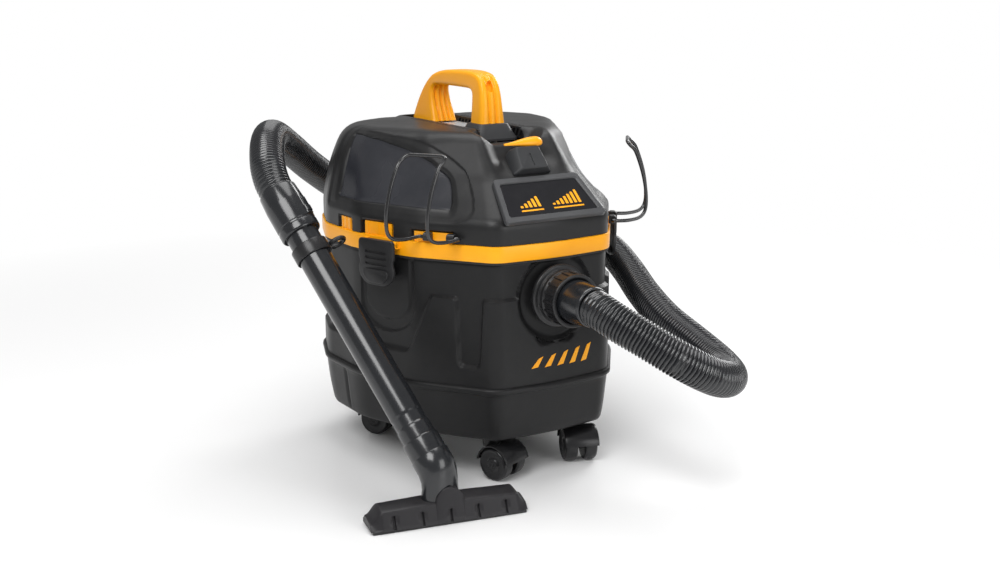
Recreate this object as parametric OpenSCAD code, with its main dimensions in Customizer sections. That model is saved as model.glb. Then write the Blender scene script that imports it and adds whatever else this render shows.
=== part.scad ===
// Wet and dry shop vacuum: square tank on casters, lift-off motor head, hose, wand and floor nozzle.
// Millimetres, +Z up, front towards -Y, origin on the floor under the middle of the machine.

/* [Body] */
// Width of the tank over its flanks
body_w = 352; // [340:1:364]
// Depth of the tank, front to back
body_d = 350; // [340:1:360]
// Height of the tank's rim above the floor
rim_z = 263; // [261:1:265]
// Thickness of the moulded walls
wall = 3; // [2.5:0.1:3.5]

/* [Casters] */
// Diameter of a caster's wheels
wheel_d = 40; // [36:1:42]
// Distance from the middle to a front caster's stem, across
front_caster_x = 60; // [56:1:66]
// Distance from the middle to a rear caster's stem, across
rear_caster_x = 112; // [106:1:118]

/* [Hose and wand] */
// Outer diameter of the corrugated hose
hose_d = 42; // [38:1:44]
// Outer diameter of the wand
wand_d = 39; // [36:1:40]
// Width of the floor nozzle
nozzle_w = 180; // [170:1:190]
// Inner radius of the blower port
blower_r = 22; // [20:0.5:23]

/* [Hidden] */
$fn = 48;

hw = body_w / 2;
hd = body_d / 2;
ring_z0 = rim_z + 2.8; // underside of the yellow ring
ring_z1 = 284.5;       // top of the yellow ring
motor_y = 12;          // motor and filter axis
port_z = 222;          // hose port axis
port_y = -hd;          // face that the port sits on
wheel_r = wheel_d / 2;
cuff_end_y = -246;     // where the hose leaves its cuff

// ---- outline of the body: corner points and their radii, right half then mirrored ----
half_plan = [[0, -hd, 300], [78, -hd + 8, 30], [142, -hd + 92, 80], [hw - 2, 1, 90], [hw, 77, 60],
    [hw - 26, hd - 30, 50], [92, hd, 40]];
function mirrored(h) = concat(h, [for (i = [len(h) - 1:-1:1]) [-h[i][0], h[i][1], h[i][2]]]);
function unit(v) = v / norm(v);
function turn(a) = a > 180 ? a - 360 : a < -180 ? a + 360 : a;
function corner(p0, p1, p2, r, n) = let (
    u = unit(p0 - p1), v = unit(p2 - p1),
    half = acos(u * v) / 2,
    c = p1 + unit(u + v) * r / sin(half),
    a = p1 + u * r / tan(half) - c, b = p1 + v * r / tan(half) - c,
    a0 = atan2(a[1], a[0]), da = turn(atan2(b[1], b[0]) - a0))
    [for (i = [0:n]) c + r * [cos(a0 + da * i / n), sin(a0 + da * i / n)]];
function rounded(v, n = 3) = [for (i = [0:len(v) - 1]) let (
    p = v[(i + len(v) - 1) % len(v)], q = v[i], s = v[(i + 1) % len(v)])
    each corner([p[0], p[1]], [q[0], q[1]], [s[0], s[1]], q[2], n)];
function inset(points, t) = [for (p = points) [p[0] * (hw - t) / hw, p[1] * (hd - t) / hd]];
plan = rounded(mirrored(half_plan));
// the head at the top of its front slope, and its crown
waist_plan = rounded(mirrored([[0, -124, 300], [58, -120, 26], [100, -72, 60], [158, 15, 80],
    [166, 80, 60], [142, 140, 46], [85, 168, 40]]));
crown_plan = rounded(mirrored([[0, -84, 300], [50, -80, 24], [98, -30, 50], [140, 40, 60],
    [146, 84, 50], [122, 130, 40], [76, 152, 36]]));
crown_z = 402;
foot_z = 310;  // foot of the sloping front
waist_z = 354; // head of the sloping front
shell = 2;     // how far the head stands in from the ring
k_shell = 1 - shell / hw;
slope_low = [-hd + shell, foot_z];
slope_high = [-124 * k_shell, waist_z];

module prism(z0, z1, t = 0) translate([0, 0, z0]) linear_extrude(z1 - z0) polygon(inset(plan, t));
module slab(points, z, k = 1) translate([0, 0, z]) linear_extrude(1) polygon(points * k);
module ring_tube(r1, r0, h) difference() {
    cylinder(r = r1, h = h);
    translate([0, 0, -1]) cylinder(r = r0, h = h + 2);
}
// lays a part that is drawn along +Z along -Y instead, starting at y
module forward(y, z = port_z) translate([0, y, z]) rotate([90, 0, 0]) children();

// ---- swept tubes: the rings stand square to the path ----
function catmull(a, b, c, d, t) = 0.5 * ((2 * b) + (c - a) * t + (2 * a - 5 * b + 4 * c - d) * t * t
    + (3 * b - a - 3 * c + d) * t * t * t);
function smooth(p, n) = let (m = len(p) - 1) concat([for (i = [0:m - 1]) for (k = [0:n - 1])
    catmull(p[max(i - 1, 0)], p[i], p[i + 1], p[min(i + 2, m)], k / n)], [p[m]]);
function heading(p, i) = unit(p[min(i + 1, len(p) - 1)] - p[max(i - 1, 0)]);
function frames(p, i = 0, side = [0, 0, 1], out = []) = i == len(p) ? out : let (
    t = heading(p, i), s = unit(side - t * (side * t)))
    frames(p, i + 1, s, concat(out, [[s, cross(t, s)]]));
module sweep(p, r, sides) {
    f = frames(p);
    m = len(p);
    points = [for (i = [0:m - 1]) for (k = [0:sides - 1]) let (a = 360 * k / sides)
        p[i] + r * (cos(a) * f[i][0] + sin(a) * f[i][1])];
    walls = [for (i = [0:m - 2]) for (k = [0:sides - 1]) let (j = (k + 1) % sides)
        [i * sides + k, (i + 1) * sides + k, (i + 1) * sides + j, i * sides + j]];
    caps = [[for (k = [0:sides - 1]) k], [for (k = [sides - 1:-1:0]) (m - 1) * sides + k]];
    polyhedron(points = points, faces = concat(walls, caps), convexity = 10);
}

// ---- tank ----
module tank() {
    color([0.16, 0.16, 0.17]) {
        difference() {
            union() {
                prism(118, rim_z);
                prism(64, 119, 9);
            }
            prism(122, rim_z + 1, wall);
            prism(67, 123, 12);
            forward(-hd + 12) cylinder(r = 25, h = 40);
        }
        for (s = [1, -1]) latch_place(s) translate([-0.8, -15, 239]) cube([4.2, 30, 4]);
    }
}

// skirt round the foot of the tank, with the bead along its top edge
module base_skirt() {
    color([0.13, 0.13, 0.14]) difference() {
        union() {
            hull() {
                prism(52, 54, 6);
                prism(104, 106, 0);
            }
            prism(105, 117.8, 0);
            prism(112, 117.8, -4);
        }
        prism(63.5, 119, 8.7);
        for (c = casters) translate([c[0], c[1], 50]) cylinder(r = 9.2, h = 30);
        prism(51, 58, 9);
    }
}

module port_flange() {
    color([0.1, 0.1, 0.11]) forward(port_y - 0.2) difference() {
        union() {
            cylinder(r = 37, h = 5);
            cylinder(r = 31, h = 8);
            translate([0, 0, -14]) cylinder(r = 24.8, h = 16);
        }
        translate([0, 0, -15]) cylinder(r = 22.5, h = 30);
    }
}

module inlet_deflector() {
    color([0.18, 0.18, 0.2]) forward(-hd + 15.2) mirror([0, 0, 1]) difference() {
        cylinder(r = 29, h = 30);
        translate([0, 0, -1]) cylinder(r = 26, h = 28);
        translate([-40, -60, 6]) cube([80, 46, 40]);
    }
}

// ---- casters: [x, y, angle that the caster is turned to] ----
casters = [[-front_caster_x, -128, 200], [front_caster_x, -128, 160], [-rear_caster_x, 92, 215],
    [rear_caster_x, 92, 150]];
trail = 15; // how far the axle stands off the stem
module caster_place(i) translate([casters[i][0], casters[i][1], 0])
    rotate([0, 0, casters[i][2]]) children();
module caster_stem(i) {
    color([0.1, 0.1, 0.11]) caster_place(i) difference() {
        union() {
            translate([0, 0, 42]) cylinder(r = 12, h = 6);
            translate([0, 0, 44]) cylinder(r = 5, h = 19);
            intersection() {
                translate([0, trail, wheel_r]) rotate([0, 90, 0]) translate([0, 0, -21])
                    cylinder(r = wheel_r + 4, h = 42);
                translate([-21, -10, wheel_r + 3.6]) cube([42, 60, 40]);
            }
            translate([-3, -6, wheel_r]) cube([6, 22, 24]);
            translate([0, trail, wheel_r]) rotate([0, 90, 0]) translate([0, 0, -20])
                cylinder(r = 3, h = 40);
        }
        for (s = [4, -21.5]) translate([0, trail, wheel_r]) rotate([0, 90, 0]) translate([0, 0, s])
            ring_tube(wheel_r + 1.2, 3.2, 17.5);
    }
}
module caster_wheels(i) {
    color([0.06, 0.06, 0.07]) caster_place(i) for (s = [4.5, -20]) translate([0, trail, wheel_r])
        rotate([0, 90, 0]) translate([0, 0, s]) difference() {
            cylinder(r = wheel_r, h = 15.5);
            translate([0, 0, -1]) cylinder(r = 3.08, h = 20);
            translate([0, 0, s > 0 ? 12.5 : -1]) ring_tube(wheel_r - 4, 7, 4);
        }
}
module caster_sockets() {
    color([0.75, 0.74, 0.72]) for (c = casters) translate([c[0], c[1], 48.3]) ring_tube(9, 5.08, 15);
}

// ---- head ----
module head_ring() {
    color([0.96, 0.72, 0.05]) {
        difference() {
            prism(ring_z0, ring_z1);
            prism(ring_z0 - 1, ring_z1 + 1, 8);
        }
        for (s = [1, -1]) latch_place(s) difference() {
            for (e = [20, -26]) hull() {
                translate([-4, e, latch_pin_z - 4.4]) cube([2, 6, 8.8]);
                translate([latch_pin_x, e, latch_pin_z]) rotate([-90, 0, 0])
                    cylinder(r = 4.4, h = 6, $fn = 32);
            }
            translate([latch_pin_x, -30, latch_pin_z]) rotate([-90, 0, 0]) cylinder(r = 2.5, h = 60);
        }
    }
}

module dome(t) {
    k = 1 - t / hw;
    hull() {
        prism(ring_z1 - (t > shell ? 1 : 0), foot_z - (t - shell) * 0.4, t);
        slab(waist_plan, waist_z - 1 - (t - shell) * 0.6, k);
    }
    hull() {
        slab(waist_plan, waist_z - 1 - (t - shell) * 0.6, k);
        slab(crown_plan, crown_z - 1 - (t - shell), k);
    }
}
channel = [[-31, -100, 386], [31, 146, 420]]; // sunk place for the handle, open to the front
module channel_box(g) translate(channel[0] - [g, g, g])
    cube(channel[1] - channel[0] + [2 * g, 2 * g, g]);
// flat place for the panel on the sloping front
module panel_flat(lift) on_slope(lift) translate([-90, 0, 0]) cube([180, slope_len - 1, 60]);
module head_cover() {
    color([0.12, 0.12, 0.13]) difference() {
        dome(shell);
        difference() {
            dome(shell + wall);
            channel_box(wall);
            panel_flat(-6);
        }
        channel_box(0);
        panel_flat(-3);
        translate([0, hd - 30, 334]) rotate([-90, 0, 0]) cylinder(r = blower_r + 4.2, h = 60);
        translate([78, hd - 30, 312]) rotate([-90, 0, 0]) cylinder(r = 8.2, h = 60);
        for (y = screw_ys) translate([0, y, 370]) cylinder(r = 2.6, h = 30);
    }
}

slope_angle = atan2(slope_high[1] - slope_low[1], slope_high[0] - slope_low[0]);
slope_len = norm(slope_high - slope_low);
// local x across, y up the slope, z out of it
module on_slope(lift) translate([0, slope_low[0], slope_low[1]]) rotate([slope_angle, 0, 0])
    translate([0, 0, lift]) children();
module trapezoid(low, high, len, h) linear_extrude(h)
    polygon([[-low, 0], [low, 0], [high, len], [-high, len]]);
module spec_bezel() {
    color([0.42, 0.43, 0.45]) on_slope(-2.9) difference() {
        translate([0, 1, 0]) trapezoid(69, 58, slope_len - 3, 5.5);
        translate([0, 9, -1]) trapezoid(61, 52, slope_len - 19, 8);
    }
}
module spec_label() {
    color([0.05, 0.05, 0.05]) on_slope(-2.9) translate([0, 9.3, 0])
        trapezoid(60.6, 51.6, slope_len - 19.6, 3.6);
}

upper_angle = atan2(crown_z - waist_z, 84 * -k_shell - slope_high[0]);
module on_brow(lift) translate([0, slope_high[0], slope_high[1]]) rotate([upper_angle, 0, 0])
    translate([0, 0, lift]) children();
module switch_block() {
    color([0.2, 0.2, 0.21]) on_brow(0.4) difference() {
        hull() {
            translate([0, 3, 0]) trapezoid(24, 19, 26, 1);
            translate([0, 5, 8]) trapezoid(20, 16, 22, 1);
        }
        translate([-0.9, 8, 8]) cube([1.8, 14, 4]);
    }
}
lever_at = 41; // how far up the brow the lever stands
module switch_lever() {
    color([0.96, 0.72, 0.05]) on_brow(3.4) translate([0, lever_at, 0]) {
        hull() {
            cylinder(r = 6, h = 7, $fn = 32);
            for (s = [-1, 1]) translate([s * 24, 2, 0]) cylinder(r = 2, h = 4, $fn = 32);
        }
        translate([-8, 0, 3.5]) rotate([0, 90, 0]) cylinder(r = 3.4, h = 16);
    }
}

screw_ys = [-38, 96];
handle_top = 467; // top of the grip
module handle() {
    color([0.96, 0.72, 0.05]) difference() {
        translate([-18, 0, 0]) rotate([90, 0, 90]) linear_extrude(36) difference() {
            polygon(concat([[-50, 398.3], [138, 398.3], [142, 404]],
                corner([142, 404], [104, handle_top - 2], [-28, handle_top], 26, 6),
                corner([104, handle_top - 2], [-28, handle_top], [-36, 404], 16, 6), [[-36, 404]]));
            polygon(concat([[-6, 404]], [[50, 404]], corner([50, 404], [92, 446], [-4, 446], 10, 4),
                corner([92, 446], [-4, 446], [-6, 404], 8, 4)));
        }
        for (y = screw_ys) translate([0, y, 390]) cylinder(r = 2.05, h = 20);
    }
}
module handle_base() {
    color([0.3, 0.31, 0.33]) difference() {
        hull() {
            translate([-28, -62, 386.2]) cube([56, 206, 1]);
            translate([-21, -56, 397]) cube([42, 196, 1]);
        }
        for (y = screw_ys) translate([0, y, 380]) cylinder(r = 2.2, h = 20);
    }
}
module handle_screws() {
    color([0.6, 0.6, 0.62]) for (y = screw_ys) {
        translate([0, y, 379.5]) cylinder(r = 4, h = 3);
        translate([0, y, 381]) cylinder(r = 2, h = 26);
    }
}
module vent_grille() {
    color([0.08, 0.08, 0.09]) for (s = [-1, 1]) difference() {
        translate([s * 29.6 - 1, -48, 388]) cube([2, 152, 14]);
        for (i = [0:17]) translate([s * 29.6 - 2, -44 + 8.2 * i, 390.5]) cube([4, 3.6, 9]);
    }
}
module blower_port() {
    color([0.1, 0.1, 0.11]) translate([0, hd - 26, 334]) rotate([-90, 0, 0]) {
        ring_tube(blower_r + 4, blower_r, 34.2);
        translate([0, 0, 25]) ring_tube(blower_r + 7, blower_r + 4, 2.5);
    }
}
module cord_gland() {
    color([0.07, 0.07, 0.07]) translate([78, hd - 18, 312]) rotate([-90, 0, 0]) difference() {
        union() {
            cylinder(r = 8, h = 20);
            translate([0, 0, 17]) cylinder(r1 = 11, r2 = 9, h = 7);
        }
        translate([0, 0, -1]) cylinder(r = 3.6, h = 30);
    }
}

// ---- wire bails: x out from the flank, y along it ----
bail_mid = [119.5, -112.5];
bail_angle = -37.3;
bail_z = 292;
module bail_place(s) mirror([s < 0 ? 1 : 0, 0, 0]) translate([bail_mid[0], bail_mid[1], 0])
    rotate([0, 0, bail_angle]) children();
bail_side = [[0, 0], [20, -1], [36, 2], [43, 12], [43, 32], [38, 56], [28, 82], [16, 95]];
lean = 0.5; // how far the wires run back along the flank as they stand out
function bail_wire(y0) = [for (q = bail_side) [4.5 + q[0] * 0.89, y0 + q[0] * lean, bail_z + q[1]]];
module bail(s) {
    near = bail_wire(-25);
    far = bail_wire(25);
    last = len(near) - 1;
    path = concat([[4.5, -11, bail_z], [4.5, -15, bail_z], [4.5, -19, bail_z]], near,
        [(near[last] * 2 + far[last]) / 3],
        [(near[last] + far[last] * 2) / 3], [for (i = [last:-1:0]) far[i]],
        [[4.5, 19, bail_z], [4.5, 15, bail_z], [4.5, 11, bail_z]]);
    color([0.05, 0.05, 0.05]) bail_place(s) sweep(smooth(path, 3), 2.4, 10);
}
module bail_brackets() {
    color([0.1, 0.1, 0.11]) for (s = [1, -1]) bail_place(s) for (y = [-19, 10]) difference() {
        translate([-1.7, y, bail_z - 5]) cube([10.2, 9, 10]);
        translate([4.5, y - 1, bail_z]) rotate([-90, 0, 0]) cylinder(r = 2.5, h = 12);
    }
}

// ---- side latches: x out from the flank, y along it ----
latch_mid = [157.3, -43];
latch_angle = -20.9;
latch_pin_x = 5;
latch_pin_z = 278;
module latch_place(s) mirror([s < 0 ? 1 : 0, 0, 0]) translate([latch_mid[0], latch_mid[1], 0])
    rotate([0, 0, latch_angle]) children();
module latch(s) {
    color([0.09, 0.09, 0.1]) latch_place(s) difference() {
        union() {
            translate([9.8, -27, 243]) cube([3.7, 54, 40.3]);
            hull() {
                translate([9.8, -27, 249]) cube([3.7, 54, 1]);
                translate([9.8, -17, 229]) cube([6, 34, 1]);
            }
            translate([6, -14, 233]) cube([5, 28, 5]);
            translate([latch_pin_x, -19, latch_pin_z - 4.4]) cube([6, 38, 8.8]);
            translate([latch_pin_x, -19, latch_pin_z]) rotate([-90, 0, 0]) cylinder(r = 4.4, h = 38);
        }
        translate([latch_pin_x, -30, latch_pin_z]) rotate([-90, 0, 0]) cylinder(r = 2.55, h = 60);
        for (i = [0:2]) translate([12.7, -15, 253 + 7 * i]) cube([2, 30, 3]);
    }
}
module latch_pins() {
    color([0.7, 0.7, 0.72]) for (s = [1, -1]) latch_place(s)
        translate([latch_pin_x, -26, latch_pin_z]) rotate([-90, 0, 0]) cylinder(r = 2.5, h = 52);
}

// ---- inside the head ----
module motor_plate() {
    color([0.15, 0.15, 0.16]) difference() {
        prism(ring_z0 + 1, ring_z0 + 6, 8.3);
        translate([0, motor_y, 200]) cylinder(r = 24, h = 100);
    }
}
module fan_housing() {
    color([0.25, 0.25, 0.27]) translate([0, motor_y, ring_z0 + 6]) difference() {
        cylinder(r = 74, h = 30);
        translate([0, 0, 3]) cylinder(r = 70, h = 24);
        translate([0, 0, -1]) cylinder(r = 24, h = 6);
        translate([0, 0, 20]) cylinder(r = 12, h = 20);
        translate([-20, 60, 8]) cube([40, 20, 16]);
    }
}
module impeller() {
    color([0.75, 0.76, 0.78]) translate([0, motor_y, ring_z0 + 11]) difference() {
        union() {
            cylinder(r = 62, h = 1.5);
            translate([0, 0, 16]) cylinder(r = 62, h = 1.5);
            cylinder(r = 9, h = 20);
            for (i = [0:8]) rotate([0, 0, 40 * i]) translate([24, -1, 1]) rotate([0, 0, 24])
                cube([40, 2, 15.5]);
        }
        difference() {
            translate([0, 0, -2]) cylinder(r = 22, h = 17);
            translate([0, 0, -3]) cylinder(r = 9, h = 20);
        }
        translate([0, 0, -1]) cylinder(r = 4.02, h = 30);
        difference() {
            translate([0, 0, -5]) cylinder(r = 80, h = 30);
            translate([0, 0, -6]) cylinder(r = 62, h = 32);
        }
    }
}
motor_z = ring_z0 + 36; // top of the fan housing
module motor_housing() {
    color([0.62, 0.63, 0.65]) translate([0, motor_y, motor_z]) difference() {
        cylinder(r = 50, h = 72);
        translate([0, 0, 3]) cylinder(r = 46, h = 66);
        translate([0, 0, -1]) cylinder(r = 13, h = 90);
        for (i = [0:5]) rotate([0, 0, 60 * i]) translate([30, -9, 40]) cube([30, 18, 18]);
    }
}
module stator() {
    color([0.7, 0.42, 0.2]) translate([0, motor_y, motor_z + 14]) {
        difference() {
            ring_tube(45.8, 29, 34);
            for (i = [0:3]) rotate([0, 0, 45 + 90 * i]) translate([32, -5, -1]) cube([20, 10, 40]);
        }
    }
}
module armature() {
    color([0.72, 0.45, 0.22]) translate([0, motor_y, motor_z]) {
        translate([0, 0, -26.5]) cylinder(r = 4, h = 99);
        translate([0, 0, 14]) difference() {
            cylinder(r = 28, h = 34);
            for (i = [0:11]) rotate([0, 0, 30 * i]) translate([25, -1.2, -1]) cube([6, 2.4, 40]);
        }
        translate([0, 0, 50]) cylinder(r = 13, h = 10);
    }
}
module bearings() {
    color([0.78, 0.79, 0.8]) translate([0, motor_y, motor_z]) for (z = [-0.5, 64])
        translate([0, 0, z]) ring_tube(z < 0 ? 11.9 : 12.9, 4.05, 7);
}
module carbon_brushes() {
    color([0.2, 0.2, 0.2]) translate([0, motor_y, motor_z + 51]) for (s = [1, -1])
        translate([s > 0 ? 13.2 : -33.2, -4, 0]) cube([20, 8, 8]);
}
module tank_gasket() {
    color([0.05, 0.05, 0.05]) difference() {
        prism(rim_z + 0.4, ring_z0, 1);
        prism(rim_z - 1, ring_z0 + 1, 7);
    }
}
module ring_screws() {
    color([0.6, 0.6, 0.62]) for (p = [[110, 60], [-110, 60], [60, -110], [-60, -110]])
        translate([p[0], p[1], ring_z0 + 6]) {
            cylinder(r = 4, h = 3);
            translate([0, 0, 1]) cylinder(r = 2, h = 9);
        }
}

// ---- filter below the head ----
filter_top = ring_z0 + 0.9;
module filter_cage() {
    color([0.14, 0.14, 0.15]) translate([0, motor_y, 0]) {
        translate([0, 0, filter_top - 6]) ring_tube(50, 26, 6);
        translate([0, 0, 168]) cylinder(r = 50, h = 4);
        for (i = [0:9]) rotate([0, 0, 36 * i]) translate([45, -2, 171]) cube([4.5, 4, filter_top - 176]);
        for (z = [195, 222]) translate([0, 0, z]) ring_tube(49.5, 45, 4);
    }
}
module cartridge_filter() {
    color([0.92, 0.9, 0.85]) translate([0, motor_y, 0]) {
        translate([0, 0, 173]) ring_tube(72, 50.3, filter_top - 173 - 0.3);
    }
}
module filter_retainer() {
    color([0.85, 0.25, 0.15]) translate([0, motor_y, 0]) {
        translate([0, 0, 161]) cylinder(r = 68, h = 6.8);
        translate([-22, -4, 148]) cube([44, 8, 14]);
        translate([0, 0, 158]) cylinder(r = 24, h = 4);
    }
}
module float_ball() {
    color([0.9, 0.9, 0.88]) translate([0, motor_y, 172.2 + 30]) sphere(r = 30);
}

// ---- hose end at the tank ----
module hose_cuff_tank() {
    color([0.08, 0.08, 0.09]) forward(port_y + 10) difference() {
        union() {
            cylinder(r = 22.3, h = 32);
            translate([0, 0, 20]) cylinder(r = 26, h = 22);
            translate([0, 0, 42]) cylinder(r1 = 26, r2 = 23, h = -cuff_end_y + port_y + 10 - 42);
        }
        translate([0, 0, -1]) cylinder(r = 18.5, h = 120);
    }
}
module lock_collar() {
    color([0.07, 0.07, 0.08]) forward(port_y - 9.5) difference() {
        union() {
            cylinder(r = 32, h = 5);
            translate([0, 0, 4.5]) cylinder(r = 30.5, h = 22);
            for (i = [0:17]) rotate([0, 0, 20 * i]) translate([29.5, -2, 0]) cube([2.4, 4, 26.5]);
        }
        translate([0, 0, -1]) cylinder(r = 26.08, h = 40);
    }
}

// ---- hose route, wand and nozzle: points by hand ----
hose_route = [[0, cuff_end_y, port_z], [0, -254, 221], [6, -274, 213], [26, -304, 196],
    [58, -332, 172], [98, -340, 150],
    [138, -318, 138], [160, -276, 140], [166, -224, 152], [168, -166, 168], [180, -106, 186],
    [200, -44, 204], [216, 20, 220], [219, 86, 232], [205, 150, 238], [172, 206, 242], [120, 244, 248],
    [60, 262, 256], [0, 266, 268], [-60, 260, 290], [-116, 240, 326], [-166, 204, 362],
    [-206, 158, 384], [-234, 108, 382], [-252, 66, 362], [-256, 44, 344]];
wand_low = [-180, -199, 62];
wand_high = [-250, 24, 321];
wand_axis = unit(wand_high - wand_low);
wand_len = norm(wand_high - wand_low);
wand_tilt = acos(wand_axis[2]);
wand_turn = atan2(wand_axis[1], wand_axis[0]);
// local z runs up the wand
module up_wand(d) translate(wand_low) rotate([0, 0, wand_turn]) rotate([0, wand_tilt, 0])
    translate([0, 0, d]) children();
module hose() {
    color([0.1, 0.1, 0.11])
        sweep(smooth(concat(hose_route, [wand_high + wand_axis * 18]), 3), hose_d / 2, 12);
}
module hose_cuff_wand() {
    color([0.09, 0.09, 0.1]) up_wand(wand_len - 42) difference() {
        union() {
            cylinder(r = 24, h = 40);
            translate([0, 0, 40]) cylinder(r1 = 24, r2 = 22.5, h = 20);
        }
        translate([0, 0, -1]) cylinder(r = wand_d / 2 + 0.05, h = 43);
        translate([0, 0, 30]) cylinder(r = 18, h = 50);
    }
}
module wand() {
    color([0.11, 0.11, 0.12]) up_wand(0) ring_tube(wand_d / 2, wand_d / 2 - 2.5, wand_len);
}
module hang_ring() {
    color([0.1, 0.1, 0.11]) up_wand(wand_len - 75) {
        ring_tube(wand_d / 2 + 2.4, wand_d / 2 + 0.05, 16);
        translate([-11, -wand_d / 2 - 11, 5]) difference() {
            cylinder(r = 12.5, h = 6);
            translate([0, 0, -1]) cylinder(r = 7.5, h = 8);
            translate([0, 5, -1]) cube([30, 30, 10]);
        }
    }
}
nozzle_mid = [-172, -212];
nozzle_turn = -11;
module nozzle_place() translate([nozzle_mid[0], nozzle_mid[1], 0]) rotate([0, 0, nozzle_turn]) children();
module nozzle() {
    color([0.2, 0.2, 0.22]) difference() {
        union() {
            nozzle_place() hull() {
                translate([-nozzle_w / 2, -20, 3]) cube([nozzle_w, 40, 10]);
                translate([-nozzle_w / 2 + 14, -16, 28]) cube([nozzle_w - 28, 30, 2]);
            }
            nozzle_place() hull() {
                translate([-24, -18, 4]) cube([48, 34, 20]);
                translate([0, 18, 30]) rotate([90, 0, 0]) cylinder(r = 21, h = 36, $fn = 32);
            }
            up_wand(-28) cylinder(r = 22, h = 52);
        }
        nozzle_place() translate([-nozzle_w / 2 + 5, -13, -1]) cube([nozzle_w - 10, 26, 16]);
        up_wand(-34) cylinder(r = 17, h = 34);
        up_wand(-0.1) cylinder(r = wand_d / 2 + 0.02, h = 40);
    }
}
module nozzle_strip() {
    color([0.05, 0.05, 0.05]) nozzle_place() for (y = [-19, 15]) translate([-nozzle_w / 2 + 2, y, 0])
        cube([nozzle_w - 4, 4, 2.9]);
}

tank();
base_skirt();
port_flange();
inlet_deflector();
caster_stem(0);  // caster_stem_fl
caster_stem(1);  // caster_stem_fr
caster_stem(2);  // caster_stem_rl
caster_stem(3);  // caster_stem_rr
caster_wheels(0);  // caster_wheels_fl
caster_wheels(1);  // caster_wheels_fr
caster_wheels(2);  // caster_wheels_rl
caster_wheels(3);  // caster_wheels_rr
caster_sockets();
head_ring();
head_cover();
spec_bezel();
spec_label();
switch_block();
switch_lever();
handle();
handle_base();
handle_screws();
vent_grille();
blower_port();
cord_gland();
bail_brackets();
bail(-1);  // bail_left
bail(1);  // bail_right
latch(-1);  // latch_left
latch(1);  // latch_right
latch_pins();
motor_plate();
fan_housing();
impeller();
motor_housing();
stator();
armature();
bearings();
carbon_brushes();
tank_gasket();
filter_cage();
cartridge_filter();
filter_retainer();
float_ball();
hose_cuff_tank();
lock_collar();
hose();
hose_cuff_wand();
wand();
hang_ring();
nozzle();
nozzle_strip();
ring_screws();
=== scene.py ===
import math

import bmesh
import bpy
import numpy as np
from mathutils import Matrix, Vector


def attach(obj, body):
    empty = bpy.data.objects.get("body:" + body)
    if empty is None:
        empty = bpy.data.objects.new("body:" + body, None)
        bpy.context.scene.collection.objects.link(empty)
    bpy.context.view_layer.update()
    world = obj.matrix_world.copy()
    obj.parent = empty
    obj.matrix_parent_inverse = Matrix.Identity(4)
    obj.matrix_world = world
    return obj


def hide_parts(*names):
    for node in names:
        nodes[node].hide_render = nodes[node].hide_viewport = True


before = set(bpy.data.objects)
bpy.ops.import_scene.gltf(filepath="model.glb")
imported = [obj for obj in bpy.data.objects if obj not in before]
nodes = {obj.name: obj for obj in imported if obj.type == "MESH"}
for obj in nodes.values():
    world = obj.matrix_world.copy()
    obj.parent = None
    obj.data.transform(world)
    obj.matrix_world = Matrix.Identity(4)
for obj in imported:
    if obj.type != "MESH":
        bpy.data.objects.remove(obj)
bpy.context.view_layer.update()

print("frame loaded with", len(nodes), "nodes")

# Shapes are drawn in millimetres, like the plans of the machine, and made metres when a mesh is built.
mm = 0.001

# camera
view = {"place": (-0.8348, -1.3845, 0.585), "down": 13.3, "turn": -32.0, "lens": 47.2}


def makeCamera():
    data = bpy.data.cameras.new("camera")
    data.lens = view["lens"]
    data.sensor_width = 36
    camera = bpy.data.objects.new("camera", data)
    camera.location = view["place"]
    camera.rotation_euler = (math.radians(90 - view["down"]), 0, math.radians(view["turn"]))
    bpy.context.scene.collection.objects.link(camera)
    bpy.context.scene.camera = camera
    # plain display of the light, so that saturated yellow and deep black keep their colour
    bpy.context.scene.view_settings.view_transform = "Standard"


makeCamera()
print("camera placed")


# shader groups
def newGroup(name, inputs, outputs):
    tree = bpy.data.node_groups.new(name, "ShaderNodeTree")
    for label, kind, value in inputs:
        socket = tree.interface.new_socket(name=label, in_out="INPUT", socket_type=kind)
        if value is not None:
            socket.default_value = value
    for label, kind in outputs:
        tree.interface.new_socket(name=label, in_out="OUTPUT", socket_type=kind)
    start = tree.nodes.new("NodeGroupInput")
    end = tree.nodes.new("NodeGroupOutput")
    return tree, start, end


def mathNode(tree, kind, a, b=None, clamp=False):
    node = tree.nodes.new("ShaderNodeMath")
    node.operation = kind
    node.use_clamp = clamp
    for i, value in enumerate((a, b)):
        if value is None:
            continue
        if isinstance(value, (int, float)):
            node.inputs[i].default_value = value
        else:
            tree.links.new(value, node.inputs[i])
    return node.outputs[0]


def noiseNode(tree, vector, scale, detail=2.0, rough=0.5):
    node = tree.nodes.new("ShaderNodeTexNoise")
    node.inputs["Detail"].default_value = detail
    node.inputs["Roughness"].default_value = rough
    tree.links.new(vector, node.inputs["Vector"])
    if isinstance(scale, (int, float)):
        node.inputs["Scale"].default_value = scale
    else:
        tree.links.new(scale, node.inputs["Scale"])
    return node.outputs[0]


def mapRange(tree, value, low, high, toLow=0.0, toHigh=1.0):
    node = tree.nodes.new("ShaderNodeMapRange")
    tree.links.new(value, node.inputs["Value"])
    for label, number in (("From Min", low), ("From Max", high), ("To Min", toLow), ("To Max", toHigh)):
        node.inputs[label].default_value = number
    return node.outputs[0]


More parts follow.
